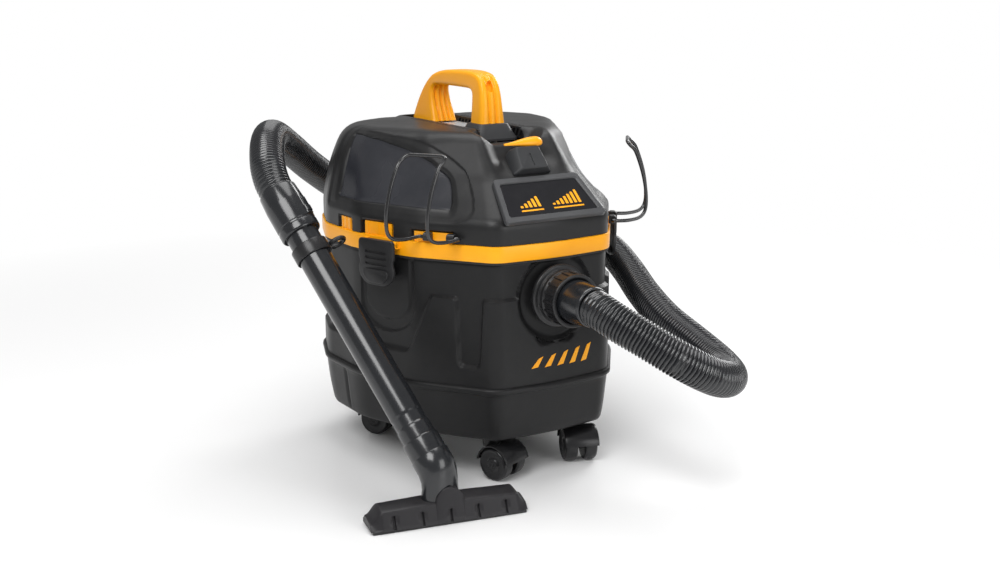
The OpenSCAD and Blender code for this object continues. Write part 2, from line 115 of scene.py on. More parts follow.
def makeGrainGroup():
    # spark-eroded mould texture: fine pits, with broad flow marks that vary the gloss
    tree, start, end = newGroup(
        "mouldGrain",
        [("Vector", "NodeSocketVector", None), ("Size", "NodeSocketFloat", 1400.0)],
        [("Height", "NodeSocketFloat"), ("Flow", "NodeSocketFloat")],
    )
    fine = noiseNode(tree, start.outputs["Vector"], start.outputs["Size"], 3.0, 0.6)
    broad = noiseNode(tree, start.outputs["Vector"], 14.0, 3.0, 0.55)
    tree.links.new(fine, end.inputs["Height"])
    tree.links.new(mapRange(tree, broad, 0.3, 0.7), end.inputs["Flow"])
    return tree


def makeWearGroup():
    # rubbed edges: where the surface is sharply convex, broken up by noise
    tree, start, end = newGroup(
        "edgeWear",
        [("Vector", "NodeSocketVector", None), ("Reach", "NodeSocketFloat", 1.0)],
        [("Mask", "NodeSocketFloat")],
    )
    geometry = tree.nodes.new("ShaderNodeNewGeometry")
    edge = mapRange(tree, geometry.outputs["Pointiness"], 0.52, 0.62)
    patches = mapRange(tree, noiseNode(tree, start.outputs["Vector"], 90.0, 4.0, 0.6), 0.35, 0.65)
    worn = mathNode(tree, "MULTIPLY", edge, patches)
    tree.links.new(mathNode(tree, "MULTIPLY", worn, start.outputs["Reach"], True), end.inputs["Mask"])
    return tree


def makeDustGroup():
    # a thin veil of dust, thicker on faces that look up
    tree, start, end = newGroup(
        "dustVeil",
        [("Vector", "NodeSocketVector", None), ("Amount", "NodeSocketFloat", 0.1)],
        [("Mask", "NodeSocketFloat")],
    )
    geometry = tree.nodes.new("ShaderNodeNewGeometry")
    split = tree.nodes.new("ShaderNodeSeparateXYZ")
    tree.links.new(geometry.outputs["Normal"], split.inputs[0])
    upward = mapRange(tree, split.outputs["Z"], 0.2, 1.0, 0.25, 1.0)
    specks = mapRange(tree, noiseNode(tree, start.outputs["Vector"], 60.0, 5.0, 0.7), 0.42, 0.75)
    both = mathNode(tree, "MULTIPLY", upward, specks)
    tree.links.new(mathNode(tree, "MULTIPLY", both, start.outputs["Amount"], True), end.inputs["Mask"])
    return tree


grainGroup = makeGrainGroup()
wearGroup = makeWearGroup()
dustGroup = makeDustGroup()


def placeGroup(tree, group, vector, values):
    node = tree.nodes.new("ShaderNodeGroup")
    node.node_tree = group
    tree.links.new(vector, node.inputs["Vector"])
    for label, value in values.items():
        node.inputs[label].default_value = value
    return node


def mixColour(tree, factor, a, b):
    node = tree.nodes.new("ShaderNodeMix")
    node.data_type = "RGBA"
    tree.links.new(factor, node.inputs[0])
    for socket, value in ((node.inputs[6], a), (node.inputs[7], b)):
        if isinstance(value, tuple):
            socket.default_value = (*value, 1)
        else:
            tree.links.new(value, socket)
    return node.outputs[2]


def addBump(tree, shader, height, strength, distance):
    bump = tree.nodes.new("ShaderNodeBump")
    bump.inputs["Strength"].default_value = strength
    bump.inputs["Distance"].default_value = distance
    tree.links.new(height, bump.inputs["Height"])
    tree.links.new(bump.outputs[0], shader.inputs["Normal"])
    return bump


def moulded(name, colour, rough, size=1400.0, depth=0.25, wear=0.12, dust=0.02, metal=0.0, coat=0.0,
    shine=0.5):
    material = bpy.data.materials.new(name)
    material.use_nodes = True
    tree = material.node_tree
    shader = tree.nodes["Principled BSDF"]
    place = tree.nodes.new("ShaderNodeTexCoord").outputs["Object"]
    grain = placeGroup(tree, grainGroup, place, {"Size": size})
    worn = placeGroup(tree, wearGroup, place, {"Reach": wear})
    dusty = placeGroup(tree, dustGroup, place, {"Amount": dust})
    flow = grain.outputs["Flow"]
    lighter = tuple(min(1.0, c * 1.15 + 0.001) for c in colour)
    rubbed = tuple(min(1.0, c * 1.5 + 0.03) for c in colour)
    base = mixColour(tree, flow, colour, lighter)
    base = mixColour(tree, worn.outputs["Mask"], base, rubbed)
    base = mixColour(tree, dusty.outputs["Mask"], base, (0.42, 0.40, 0.37))
    tree.links.new(base, shader.inputs["Base Color"])
    gloss = mapRange(tree, flow, 0.0, 1.0, max(0.04, rough - 0.05), min(1.0, rough + 0.05))
    gloss = mathNode(tree, "ADD", gloss, mathNode(tree, "MULTIPLY", worn.outputs["Mask"], -0.12), True)
    tree.links.new(gloss, shader.inputs["Roughness"])
    shader.inputs["Metallic"].default_value = metal
    shader.inputs["Specular IOR Level"].default_value = shine
    shader.inputs["Coat Weight"].default_value = coat
    shader.inputs["Coat Roughness"].default_value = 0.15
    addBump(tree, shader, grain.outputs["Height"], depth, 0.0003)
    return material


finishes = {
    "tankBlack": dict(colour=(0.0105, 0.0105, 0.0110), rough=0.42, size=1100.0, depth=0.3, shine=0.24),
    "headBlack": dict(colour=(0.0115, 0.0115, 0.0120), rough=0.36, size=1300.0, depth=0.22, shine=0.30),
    "cheekBlack": dict(colour=(0.020, 0.021, 0.026), rough=0.26, size=1500.0, depth=0.1, shine=0.5),
    "trimGrey": dict(colour=(0.050, 0.051, 0.054), rough=0.36, size=1300.0, depth=0.2, shine=0.4),
    "plinthGrey": dict(colour=(0.026, 0.027, 0.029), rough=0.48, size=1300.0, depth=0.25, shine=0.35),
    "deckGrey": dict(colour=(0.42, 0.43, 0.44), rough=0.22, size=900.0, depth=0.12),
    "signalYellow": dict(colour=(0.95, 0.37, 0.004), rough=0.33, size=1200.0, depth=0.12, wear=0.04,
        dust=0.01, shine=0.35),
    "gripBlack": dict(colour=(0.014, 0.014, 0.015), rough=0.30, size=1500.0, depth=0.15, shine=0.4),
    "hoseBlack": dict(colour=(0.009, 0.010, 0.012), rough=0.22, size=1600.0, depth=0.08, shine=0.55,
        coat=0.25),
    "wandBlack": dict(colour=(0.009, 0.010, 0.012), rough=0.20, size=1600.0, depth=0.06, shine=0.55,
        coat=0.25),
    "nozzleGrey": dict(colour=(0.017, 0.016, 0.018), rough=0.44, size=1300.0, depth=0.2, shine=0.3),
    "casterBlack": dict(colour=(0.009, 0.009, 0.010), rough=0.28, size=1300.0, depth=0.12, shine=0.4),
    "latchBlack": dict(colour=(0.014, 0.014, 0.015), rough=0.42, size=1200.0, depth=0.25, shine=0.35),
    "wireCoat": dict(colour=(0.008, 0.008, 0.009), rough=0.18, size=1600.0, depth=0.04, shine=0.6,
        coat=0.4),
    "sealRubber": dict(colour=(0.010, 0.010, 0.010), rough=0.7, size=800.0, depth=0.35),
    "filterPaper": dict(colour=(0.72, 0.69, 0.60), rough=0.85, size=700.0, depth=0.4),
    "retainerRed": dict(colour=(0.55, 0.05, 0.03), rough=0.4, size=1200.0, depth=0.2),
    "floatWhite": dict(colour=(0.70, 0.70, 0.67), rough=0.45, size=1200.0, depth=0.15),
    "steelPart": dict(colour=(0.62, 0.62, 0.63), rough=0.3, size=600.0, depth=0.1, metal=1.0),
    "castAluminium": dict(colour=(0.70, 0.71, 0.72), rough=0.42, size=500.0, depth=0.3, metal=1.0),
    "copperCoil": dict(colour=(0.72, 0.32, 0.14), rough=0.35, size=500.0, depth=0.3, metal=1.0),
    "carbonBlock": dict(colour=(0.05, 0.05, 0.055), rough=0.6, size=700.0, depth=0.3),
    "labelGloss": dict(colour=(0.006, 0.006, 0.008), rough=0.12, size=1500.0, depth=0.03, dust=0.01),
}
paint = {name: moulded(name, **values) for name, values in finishes.items()}
print("materials mixed:", len(paint))


# mesh helpers
def buildPiece(name, parts, body, material, stands=(), sharp=32, bevel=0.0, segments=2):
    mesh = bmesh.new()
    for points, faces in parts:
        made = [mesh.verts.new([c * mm for c in p]) for p in points]
        for face in faces:
            if len(set(face)) > 2:
                mesh.faces.new([made[i] for i in face])
    bmesh.ops.remove_doubles(mesh, verts=mesh.verts, dist=2e-6)
    bmesh.ops.recalc_face_normals(mesh, faces=mesh.faces)
    data = bpy.data.meshes.new(name)
    mesh.to_mesh(data)
    mesh.free()
    return finishPiece(name, data, body, material, stands, sharp, bevel, segments)


def finishPiece(name, data, body, material, stands=(), sharp=32, bevel=0.0, segments=2):
    data.name = name
    piece = bpy.data.objects.new(name, data)
    bpy.context.scene.collection.objects.link(piece)
    data.materials.clear()
    data.materials.append(paint[material])
    data.shade_smooth()
    data.set_sharp_from_angle(angle=math.radians(sharp))
    if bevel:
        rounder = piece.modifiers.new("rounder", "BEVEL")
        rounder.width = bevel * mm
        rounder.segments = segments
        rounder.limit_method = "ANGLE"
        rounder.angle_limit = math.radians(35)
    if stands:
        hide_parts(*stands)
    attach(piece, body)
    return piece


def loft(rings, closeEnds=True, wrap=False):
    # rings of equally many points, joined one to the next
    count = len(rings[0])
    points = [tuple(p) for ring in rings for p in ring]
    faces = []
    rows = len(rings)
    for i in range(rows if wrap else rows - 1):
        a, b = i * count, ((i + 1) % rows) * count
        for k in range(count):
            j = (k + 1) % count
            faces.append((a + k, a + j, b + j, b + k))
    if closeEnds and not wrap:
        faces.append(tuple(range(count - 1, -1, -1)))
        faces.append(tuple((rows - 1) * count + k for k in range(count)))
    return points, faces


def lathe(profile, place=None, sides=64, closed=True):
    # profile points (radius, height) turned about the place's own Z axis
    place = place or Matrix.Identity(4)
    rings = []
    for radius, height in profile:
        ring = [
            place @ Vector((radius * math.cos(a), radius * math.sin(a), height))
            for a in (2 * math.pi * k / sides for k in range(sides))
        ]
        rings.append(ring)
    return loft(rings, closeEnds=not closed, wrap=closed)


def roundedProfile(corners, radius, steps=3):
    # a closed outline with every corner rounded by at most the radius
    points = []
    count = len(corners)
    for i in range(count):
        p, q, s = (np.array(corners[(i + d) % count], float) for d in (-1, 0, 1))
        back, ahead = p - q, s - q
        r = min(radius, 0.45 * np.linalg.norm(back), 0.45 * np.linalg.norm(ahead))
        a, b = q + back / np.linalg.norm(back) * r, q + ahead / np.linalg.norm(ahead) * r
        for k in range(steps + 1):
            t = k / steps
            points.append(tuple((1 - t) ** 2 * a + 2 * t * (1 - t) * q + t * t * b))
    return points


def ringProfile(outer, inner, low, high, radius=0.8):
    return roundedProfile([(outer, low), (outer, high), (inner, high), (inner, low)], radius)


def extrude(outline, low, high, place=None):
    place = place or Matrix.Identity(4)
    rings = [[place @ Vector((x, y, z)) for x, y in outline] for z in (low, high)]
    return loft(rings)


def block(low, high, place=None):
    outline = [(low[0], low[1]), (high[0], low[1]), (high[0], high[1]), (low[0], high[1])]
    return extrude(outline, low[2], high[2], place)


def at(x, y, z, *turns):
    place = Matrix.Translation((x, y, z))
    for axis, angle in turns:
        place = place @ Matrix.Rotation(math.radians(angle), 4, axis)
    return place


def forward(y, z=222.0, x=0.0):
    # local Z runs towards the front of the machine
    return at(x, y, z, ("X", 90))


def backward(x, y, z):
    return at(x, y, z, ("X", -90))


def circle(radius, count, x=0.0, y=0.0):
    turns = [2 * math.pi * k / count for k in range(count)]
    return [(x + radius * math.cos(a), y + radius * math.sin(a)) for a in turns]


def catmull(points, steps):
    p = np.array(points, float)
    last = len(p) - 1
    out = []
    for i in range(last):
        a, b, c, d = p[max(i - 1, 0)], p[i], p[i + 1], p[min(i + 2, last)]
        for k in range(steps):
            t = k / steps
            out.append(0.5 * (2 * b + (c - a) * t + (2 * a - 5 * b + 4 * c - d) * t * t
                              + (3 * b - a - 3 * c + d) * t ** 3))
    out.append(p[last])
    return np.array(out)


def evenly(points, step):
    # the same line with points a set distance apart
    gaps = np.linalg.norm(np.diff(points, axis=0), axis=1)
    far = np.concatenate([[0], np.cumsum(gaps)])
    count = max(2, int(round(far[-1] / step)) + 1)
    spots = np.linspace(0, far[-1], count)
    return np.stack([np.interp(spots, far, points[:, k]) for k in range(3)], axis=1)


def tube(path, radius, sides=14):
    # a round bar along a path, its ends closed with a small dome
    path = np.array(path, float)
    side = np.array([0.0, 0.0, 1.0])
    rings = []
    for i, p in enumerate(path):
        ahead = path[min(i + 1, len(path) - 1)] - path[max(i - 1, 0)]
        ahead /= np.linalg.norm(ahead)
        side = side - ahead * (side @ ahead)
        side /= np.linalg.norm(side)
        other = np.cross(ahead, side)
        steps = [(0, 1)]
        if i == 0:
            steps = [(-0.5, 0.55), (0, 1)]
        elif i == len(path) - 1:
            steps = [(0, 1), (0.5, 0.55)]
        for shift, share in steps:
            rings.append([
                p + ahead * shift * radius + radius * share * (math.cos(a) * side + math.sin(a) * other)
                for a in (2 * math.pi * k / sides for k in range(sides))
            ])
    return loft(rings)


def cutWith(name, parts, cutters):
    # a solid with other solids taken out of it, as a plain mesh
    def solid(label, pieces):
        mesh = bmesh.new()
        for points, faces in pieces:
            made = [mesh.verts.new([c * mm for c in p]) for p in points]
            for face in faces:
                mesh.faces.new([made[i] for i in face])
        bmesh.ops.remove_doubles(mesh, verts=mesh.verts, dist=2e-6)
        bmesh.ops.recalc_face_normals(mesh, faces=mesh.faces)
        data = bpy.data.meshes.new(label)
        mesh.to_mesh(data)
        mesh.free()
        thing = bpy.data.objects.new(label, data)
        bpy.context.scene.collection.objects.link(thing)
        return thing

    main = solid(name + "Blank", parts)
    for cutter in cutters:
        tool = solid(name + "Cutter", [cutter])
        knife = main.modifiers.new("knife", "BOOLEAN")
        knife.operation = "DIFFERENCE"
        knife.solver = "EXACT"
        knife.object = tool
        graph = bpy.context.evaluated_depsgraph_get()
        result = bpy.data.meshes.new_from_object(main.evaluated_get(graph))
        main.modifiers.clear()
        main.data = result
        bpy.data.objects.remove(tool)
    data = main.data
    bpy.data.objects.remove(main)
    return data


def filmFrom(grid, columns, rows, place):
    top = [place(u, z, 0.35) for u, z in grid]
    bottom = [place(u, z, -0.6) for u, z in grid]
    points = top + bottom
    n = len(top)
    faces = []
    for j in range(rows - 1):
        for i in range(columns - 1):
            k = j * columns + i
            faces.append((k, k + 1, k + 1 + columns, k + columns))
            faces.append((n + k, n + k + columns, n + k + 1 + columns, n + k + 1))
    edge = [i for i in range(columns)] + [columns * (j + 1) - 1 for j in range(1, rows)]
    edge += [columns * rows - 1 - i for i in range(1, columns)] + [columns * j
        for j in range(rows - 2, 0, -1)]
    for a, b in zip(edge, edge[1:] + edge[:1]):
        faces.append((b, a, n + a, n + b))
    return points, faces


# outlines of the body
body = {
    "halfDepth": 175.0, "rim": 263.0,
    "plan": [(0, -175, 300), (78, -167, 30), (142, -83, 80), (174, 1, 90), (176, 77, 60), (150, 145, 50),
        (92, 175, 40)],
    "waist": [(0, -124, 300), (58, -120, 26), (100, -72, 60), (158, 15, 80), (166, 80, 60),
        (142, 140, 46), (85, 168, 40)],
    "crown": [(0, -84, 300), (50, -80, 24), (98, -30, 50), (140, 40, 60), (146, 84, 50), (122, 130, 40),
        (76, 152, 36)],
}


def rawLoop(half, arcSteps=12, flatSteps=14):
    # corner points with radii, right half given: arcs with straight runs between, all loops alike
    corners = list(half) + [(-x, y, r) for x, y, r in half[:0:-1]]
    count = len(corners)
    arcs = []
    for i in range(count):
        p, q, s = (np.array(corners[(i + d) % count][:2], float) for d in (-1, 0, 1))
        radius = corners[i][2]
        u = (p - q) / np.linalg.norm(p - q)
        v = (s - q) / np.linalg.norm(s - q)
        halfAngle = math.acos(float(u @ v)) / 2
        bisector = (u + v) / np.linalg.norm(u + v)
        centre = q + bisector * radius / math.sin(halfAngle)
        a = q + u * radius / math.tan(halfAngle) - centre
        b = q + v * radius / math.tan(halfAngle) - centre
        start = math.atan2(a[1], a[0])
        sweep = (math.atan2(b[1], b[0]) - start + math.pi) % (2 * math.pi) - math.pi
        arcs.append([
            centre + radius * np.array([math.cos(start + sweep * k / arcSteps),
            math.sin(start + sweep * k / arcSteps)])
            for k in range(arcSteps + 1)
        ])
    loop = []
    for i in range(count):
        loop.extend(arcs[i])
        end, beginning = arcs[i][-1], arcs[(i + 1) % count][0]
        loop.extend(end + (beginning - end) * k / flatSteps for k in range(1, flatSteps))
    return np.array(loop)


# radii of the holes cut for the ports
bores = {"hosePort": 24.85, "blower": 26.3, "gland": 8.3}

rawPlan, rawWaist, rawCrown = (rawLoop(body[k]) for k in ("plan", "waist", "crown"))
# the loop is turned so that it starts at the middle of the front
frontIndex = int(np.argmin(np.hypot(rawPlan[:, 0], rawPlan[:, 1] + body["halfDepth"])))
rawPlan, rawWaist, rawCrown = (np.roll(loop, -frontIndex, axis=0) for loop in (rawPlan, rawWaist, rawCrown))
planGaps = np.linalg.norm(np.roll(rawPlan, -1, axis=0) - rawPlan, axis=1)
planFar = np.concatenate([[0], np.cumsum(planGaps)])
girth = float(planFar[-1])


def loopAt(raw, u):
    # point of a loop at the girth distance u, measured round the tank from the middle of the front
    spots = np.mod(np.asarray(u, float), girth)
    closed = np.vstack([raw, raw[:1]])
    return np.stack([np.interp(spots, planFar, closed[:, k]) for k in range(2)], axis=-1)


def outwardAt(u):
    step = 1.5
    along = loopAt(rawPlan, np.asarray(u) + step) - loopAt(rawPlan, np.asarray(u) - step)
    along /= np.linalg.norm(along, axis=-1, keepdims=True)
    return np.stack([along[..., 1], -along[..., 0]], axis=-1)


def girthOf(x, y):
    spots = np.linspace(0, girth, 4000, endpoint=False)
    near = loopAt(rawPlan, spots)
    return float(spots[np.argmin(np.hypot(near[:, 0] - x, near[:, 1] - y))])


def smoothStep(value, low, high):
    t = np.clip((value - low) / (high - low), 0, 1)
    return t * t * (3 - 2 * t)


def insideDepth(u, z, outline):
    # signed distance to a closed outline, positive inside
    poly = np.array(outline, float)
    nextPoly = np.roll(poly, -1, axis=0)
    best = np.full(u.shape, 1e9)
    inside = np.zeros(u.shape, bool)
    for (ax, ay), (bx, by) in zip(poly, nextPoly):
        ex, ey = bx - ax, by - ay
        t = np.clip(((u - ax) * ex + (z - ay) * ey) / max(ex * ex + ey * ey, 1e-9), 0, 1)
        best = np.minimum(best, np.hypot(u - ax - t * ex, z - ay - t * ey))
        crosses = (ay > z) != (by > z)
        where = ax + (z - ay) / (by - ay if by != ay else 1e-9) * ex
        inside ^= crosses & (u < where)
    return np.where(inside, best, -best)


latchU = girthOf(157.3, -43)
bailU = girthOf(119.5, -112.5)
print("girth", round(girth, 1), "latch at", round(latchU, 1), "bail at", round(bailU, 1))


# hose, its cuffs and the wand
hoseFacts = {"diameter": 0.042, "length": 1.385, "ribPitch": 0.0043, "ribDepth": 0.0019, "ringsPerRib": 5,
    "sides": 30}
# the same points as the hose's route in the part's source
hoseRoute = [
    (0, -0.246, 0.222), (0, -0.254, 0.221), (0.006, -0.274, 0.213), (0.026, -0.304, 0.196),
    (0.058, -0.332, 0.172), (0.098, -0.34, 0.15), (0.138, -0.318, 0.138), (0.16, -0.276, 0.14),
    (0.166, -0.224, 0.152), (0.168, -0.166, 0.168), (0.18, -0.106, 0.186), (0.2, -0.044, 0.204),
    (0.216, 0.02, 0.22), (0.219, 0.086, 0.232), (0.205, 0.15, 0.238), (0.172, 0.206, 0.242),
    (0.12, 0.244, 0.248), (0.06, 0.262, 0.256), (0, 0.266, 0.268), (-0.06, 0.26, 0.29),
    (-0.116, 0.24, 0.326), (-0.166, 0.204, 0.362), (-0.206, 0.158, 0.384), (-0.234, 0.108, 0.382),
    (-0.252, 0.066, 0.362), (-0.256, 0.044, 0.344),
]
wandLow, wandHigh = Vector((-180, -199, 62)), Vector((-250, 24, 321))
wandAxis = (wandHigh - wandLow).normalized()
wandLength = (wandHigh - wandLow).length
wandTilt = math.degrees(math.acos(wandAxis.z))
wandTurn = math.degrees(math.atan2(wandAxis.y, wandAxis.x))


def upWand(distance):
    # local Z runs up the wand from the nozzle's socket
    return at(*wandLow, ("Z", wandTurn), ("Y", wandTilt)) @ Matrix.Translation((0, 0, distance))


def makeHoseTree():
    # ribs along a curve: the radius swells and narrows with the distance travelled
    tree = bpy.data.node_groups.new("corrugatedHose", "GeometryNodeTree")
    for label, kind in (("Geometry", "NodeSocketGeometry"), ("Radius", "NodeSocketFloat"),
        ("Pitch", "NodeSocketFloat"),
                        ("Depth", "NodeSocketFloat"), ("Step", "NodeSocketFloat"),
                            ("Sides", "NodeSocketInt"),
                        ("Material", "NodeSocketMaterial")):
        tree.interface.new_socket(name=label, in_out="INPUT", socket_type=kind)
    tree.interface.new_socket(name="Geometry", in_out="OUTPUT", socket_type="NodeSocketGeometry")
    start, end = tree.nodes.new("NodeGroupInput"), tree.nodes.new("NodeGroupOutput")
    link = tree.links.new
    resample = tree.nodes.new("GeometryNodeResampleCurve")
    resample.mode = "LENGTH"
    link(start.outputs["Geometry"], resample.inputs["Curve"])
    link(start.outputs["Step"], resample.inputs["Length"])
    spot = tree.nodes.new("GeometryNodeSplineParameter")
    turns = mathNode(tree, "DIVIDE", spot.outputs["Length"], start.outputs["Pitch"])
    wave = mathNode(tree, "COSINE", mathNode(tree, "MULTIPLY", turns, 2 * math.pi))
    # a power of the wave gives round-topped ribs with narrow gaps between them
    drop = mathNode(tree, "POWER", mathNode(tree, "ADD", mathNode(tree, "MULTIPLY", wave, 0.5), 0.5), 2.2)
    radius = mathNode(tree, "SUBTRACT", start.outputs["Radius"],
        mathNode(tree, "MULTIPLY", drop, start.outputs["Depth"]))
    shape = tree.nodes.new("GeometryNodeSetCurveRadius")
    link(resample.outputs[0], shape.inputs["Curve"])
    link(radius, shape.inputs["Radius"])
    ring = tree.nodes.new("GeometryNodeCurvePrimitiveCircle")
    ring.inputs["Radius"].default_value = 1.0
    link(start.outputs["Sides"], ring.inputs["Resolution"])
    sweep = tree.nodes.new("GeometryNodeCurveToMesh")
    link(shape.outputs[0], sweep.inputs["Curve"])
    link(ring.outputs[0], sweep.inputs["Profile Curve"])
    sweep.inputs["Fill Caps"].default_value = True
    if "Scale" in sweep.inputs:
        link(radius, sweep.inputs["Scale"])
    real = tree.nodes.new("GeometryNodeRealizeInstances")
    coat = tree.nodes.new("GeometryNodeSetMaterial")
    link(sweep.outputs[0], real.inputs[0])
    link(real.outputs[0], coat.inputs[0])
    link(start.outputs["Material"], coat.inputs["Material"])
    link(coat.outputs[0], end.inputs[0])
    return tree


def runTree(thing, tree, values):
    # sets the named inputs, evaluates once and gives a plain mesh
    modifier = thing.modifiers.new("maker", "NODES")
    modifier.node_group = tree
    names = {item.name: item.identifier for item in tree.interface.items_tree if item.in_out == "INPUT"}
    for label, value in values.items():
        modifier[names[label]] = value
    graph = bpy.context.evaluated_depsgraph_get()
    graph.update()
    mesh = bpy.data.meshes.new_from_object(thing.evaluated_get(graph))
    thing.modifiers.remove(modifier)
    bpy.data.objects.remove(thing)
    return mesh


def makeHose():
    last = Vector(wandHigh + wandAxis * 18) * mm
    path = evenly(catmull([*hoseRoute, tuple(last)], 12), 0.004)
    # the closely spaced first points leave a small kink, so the line is eased
    for _ in range(3):
        path[1:-1] = 0.25 * path[:-2] + 0.5 * path[1:-1] + 0.25 * path[2:]
    curve = bpy.data.curves.new("hoseLine", "CURVE")
    curve.dimensions = "3D"
    spline = curve.splines.new("POLY")
    spline.points.add(len(path) - 1)
    spline.points.foreach_set("co", np.column_stack([path, np.ones(len(path))]).ravel())
    line = bpy.data.objects.new("hoseLine", curve)
    bpy.context.scene.collection.objects.link(line)
    facts = hoseFacts
    mesh = runTree(line, makeHoseTree(), {
        "Radius": facts["diameter"] / 2, "Pitch": facts["ribPitch"], "Depth": facts["ribDepth"],
        "Step": facts["ribPitch"] / facts["ringsPerRib"], "Sides": facts["sides"],
            "Material": paint["hoseBlack"],
    })
    hose = finishPiece("corrugated_hose", mesh, "tank_body", "hoseBlack", ["hose"],
        sharp=85)
    return hose, [tuple(p) for p in path]


hosePiece, hosePath = makeHose()
print("hose made,", len(hosePiece.data.polygons), "faces")


def makeTankCuff():
    place = forward(-165)
    profile = roundedProfile([(18.5, 0), (22.3, 0), (22.3, 20), (26, 20.5), (26, 40), (25.2, 46),
                              (23.2, 79), (22.2, 81), (18.5, 81)], 1.2)
    return buildPiece("tank_cuff", [lathe(profile, place, 72)], "tank_body", "wandBlack",
                      ["hose_cuff_tank"])


collarSizes = {"ribs": 18, "halfRib": 1.7, "ribFoot": 29.0, "ribTop": 31.3}


def makeCollar():
    place = forward(-184.5)
    parts = [lathe(roundedProfile([(26.1, 0), (32, 0), (32, 5), (30.2, 6.2), (29.6, 22), (31.2, 23.2),
                                   (31.2, 26.3), (27.6, 26.5), (26.1, 25.6)], 1.0), place, 96)]
    ribs, half = collarSizes["ribs"], collarSizes["halfRib"]
    foot, top = collarSizes["ribFoot"], collarSizes["ribTop"]
    for k in range(ribs):
        turned = place @ Matrix.Rotation(math.radians(360 / ribs * k), 4, "Z")
        outline = roundedProfile([(foot, -half), (top, -half), (top, half), (foot, half)], 0.6)
        parts.append(extrude(outline, 4.0, 24.5, turned))
    return buildPiece("locking_collar", parts, "collar", "gripBlack", ["lock_collar"])


def makeFlange():
    place = forward(-175.2)
    profile = roundedProfile([(22.5, -14), (24.8, -14), (24.8, -0.2), (37, -0.4), (37, 3.6), (35.6, 5),
                              (31.4, 5.2), (30.8, 8), (22.5, 8)], 0.9)
    return buildPiece("port_ring", [lathe(profile, place, 96)], "tank_body", "gripBlack", ["port_flange"])


def makeWandCuff():
    place = upWand(wandLength - 42)
    profile = roundedProfile([(19.55, -1), (23.2, -1), (24, 1), (24, 9), (23.3, 9.6), (23.3, 12),
        (24, 12.6),
                              (24, 40), (22.6, 60), (18, 60), (18, 40), (19.5, 39)], 0.8)
    parts = [lathe(profile, place, 80)]
    # raised tab with the latch slot over it
    for low, high, out in ((14, 36, 25.4), (17, 24, 26.2)):
        outline = roundedProfile([(22.6, -6), (out, -5), (out, 5), (22.6, 6)], 1.2)
        parts.append(extrude(outline, low, high, place @ Matrix.Rotation(math.radians(200), 4, "Z")))
    return buildPiece("wand_cuff", parts, "tank_body", "wandBlack", ["hose_cuff_wand"])


def makeWand():
    # two tubes: the lower one slips over the upper, with a rolled edge at the joint
    place = upWand(0)
    outer = [(19.5, 0), (19.5, 2), (19.5, 42), (19.5, 44), (19.1, 46), (18.7, 46.6), (18.7, 48),
        (18.7, 58), (18.7, 60),
             (19.1, 61), (19.1, 63), (19.1, wandLength - 50), (19.1, wandLength - 48),
                 (19.5, wandLength - 44),
             (19.5, wandLength - 42), (19.5, wandLength)]
    profile = [(17, 0)] + outer + [(17, wandLength)]
    return buildPiece("wand_tube", [lathe(profile, place, 96)], "tank_body", "wandBlack", ["wand"],
        sharp=40)


hookSizes = {"below": 75, "aside": -11, "stand": -30.5, "radius": 10, "wire": 2.7, "level": 8}


def makeHangRing():
    place = upWand(wandLength - hookSizes["below"])
    parts = [lathe(ringProfile(21.9, 19.55, 0, 16, 1.0), place, 72)]
    # an open hook that stands off the band, three quarters round
    path = []
    for k in range(25):
        a = math.radians(90 + 270 * k / 24)
        path.append(place @ Vector((hookSizes["aside"] + hookSizes["radius"] * math.cos(a),
                                    hookSizes["stand"] + hookSizes["radius"] * math.sin(a),
                                    hookSizes["level"])))
    parts.append(tube(path, hookSizes["wire"], 12))
    return buildPiece("hanging_hook", parts, "tank_body", "gripBlack", ["hang_ring"])


makeTankCuff()
makeCollar()
makeFlange()
cuffPiece = makeWandCuff()
makeWand()
hookPiece = makeHangRing()
print("cuffs, collar and wand made")

# floor nozzle
nozzleSizes = {"width": 180.0, "middle": (-172, -212), "turn": -11.0, "bossRadius": 16.0,
    "notches": (-64, -32, 0, 32, 64)}


def nozzlePlace():
    x, y = nozzleSizes["middle"]
    return at(x, y, 0, ("Z", nozzleSizes["turn"]))


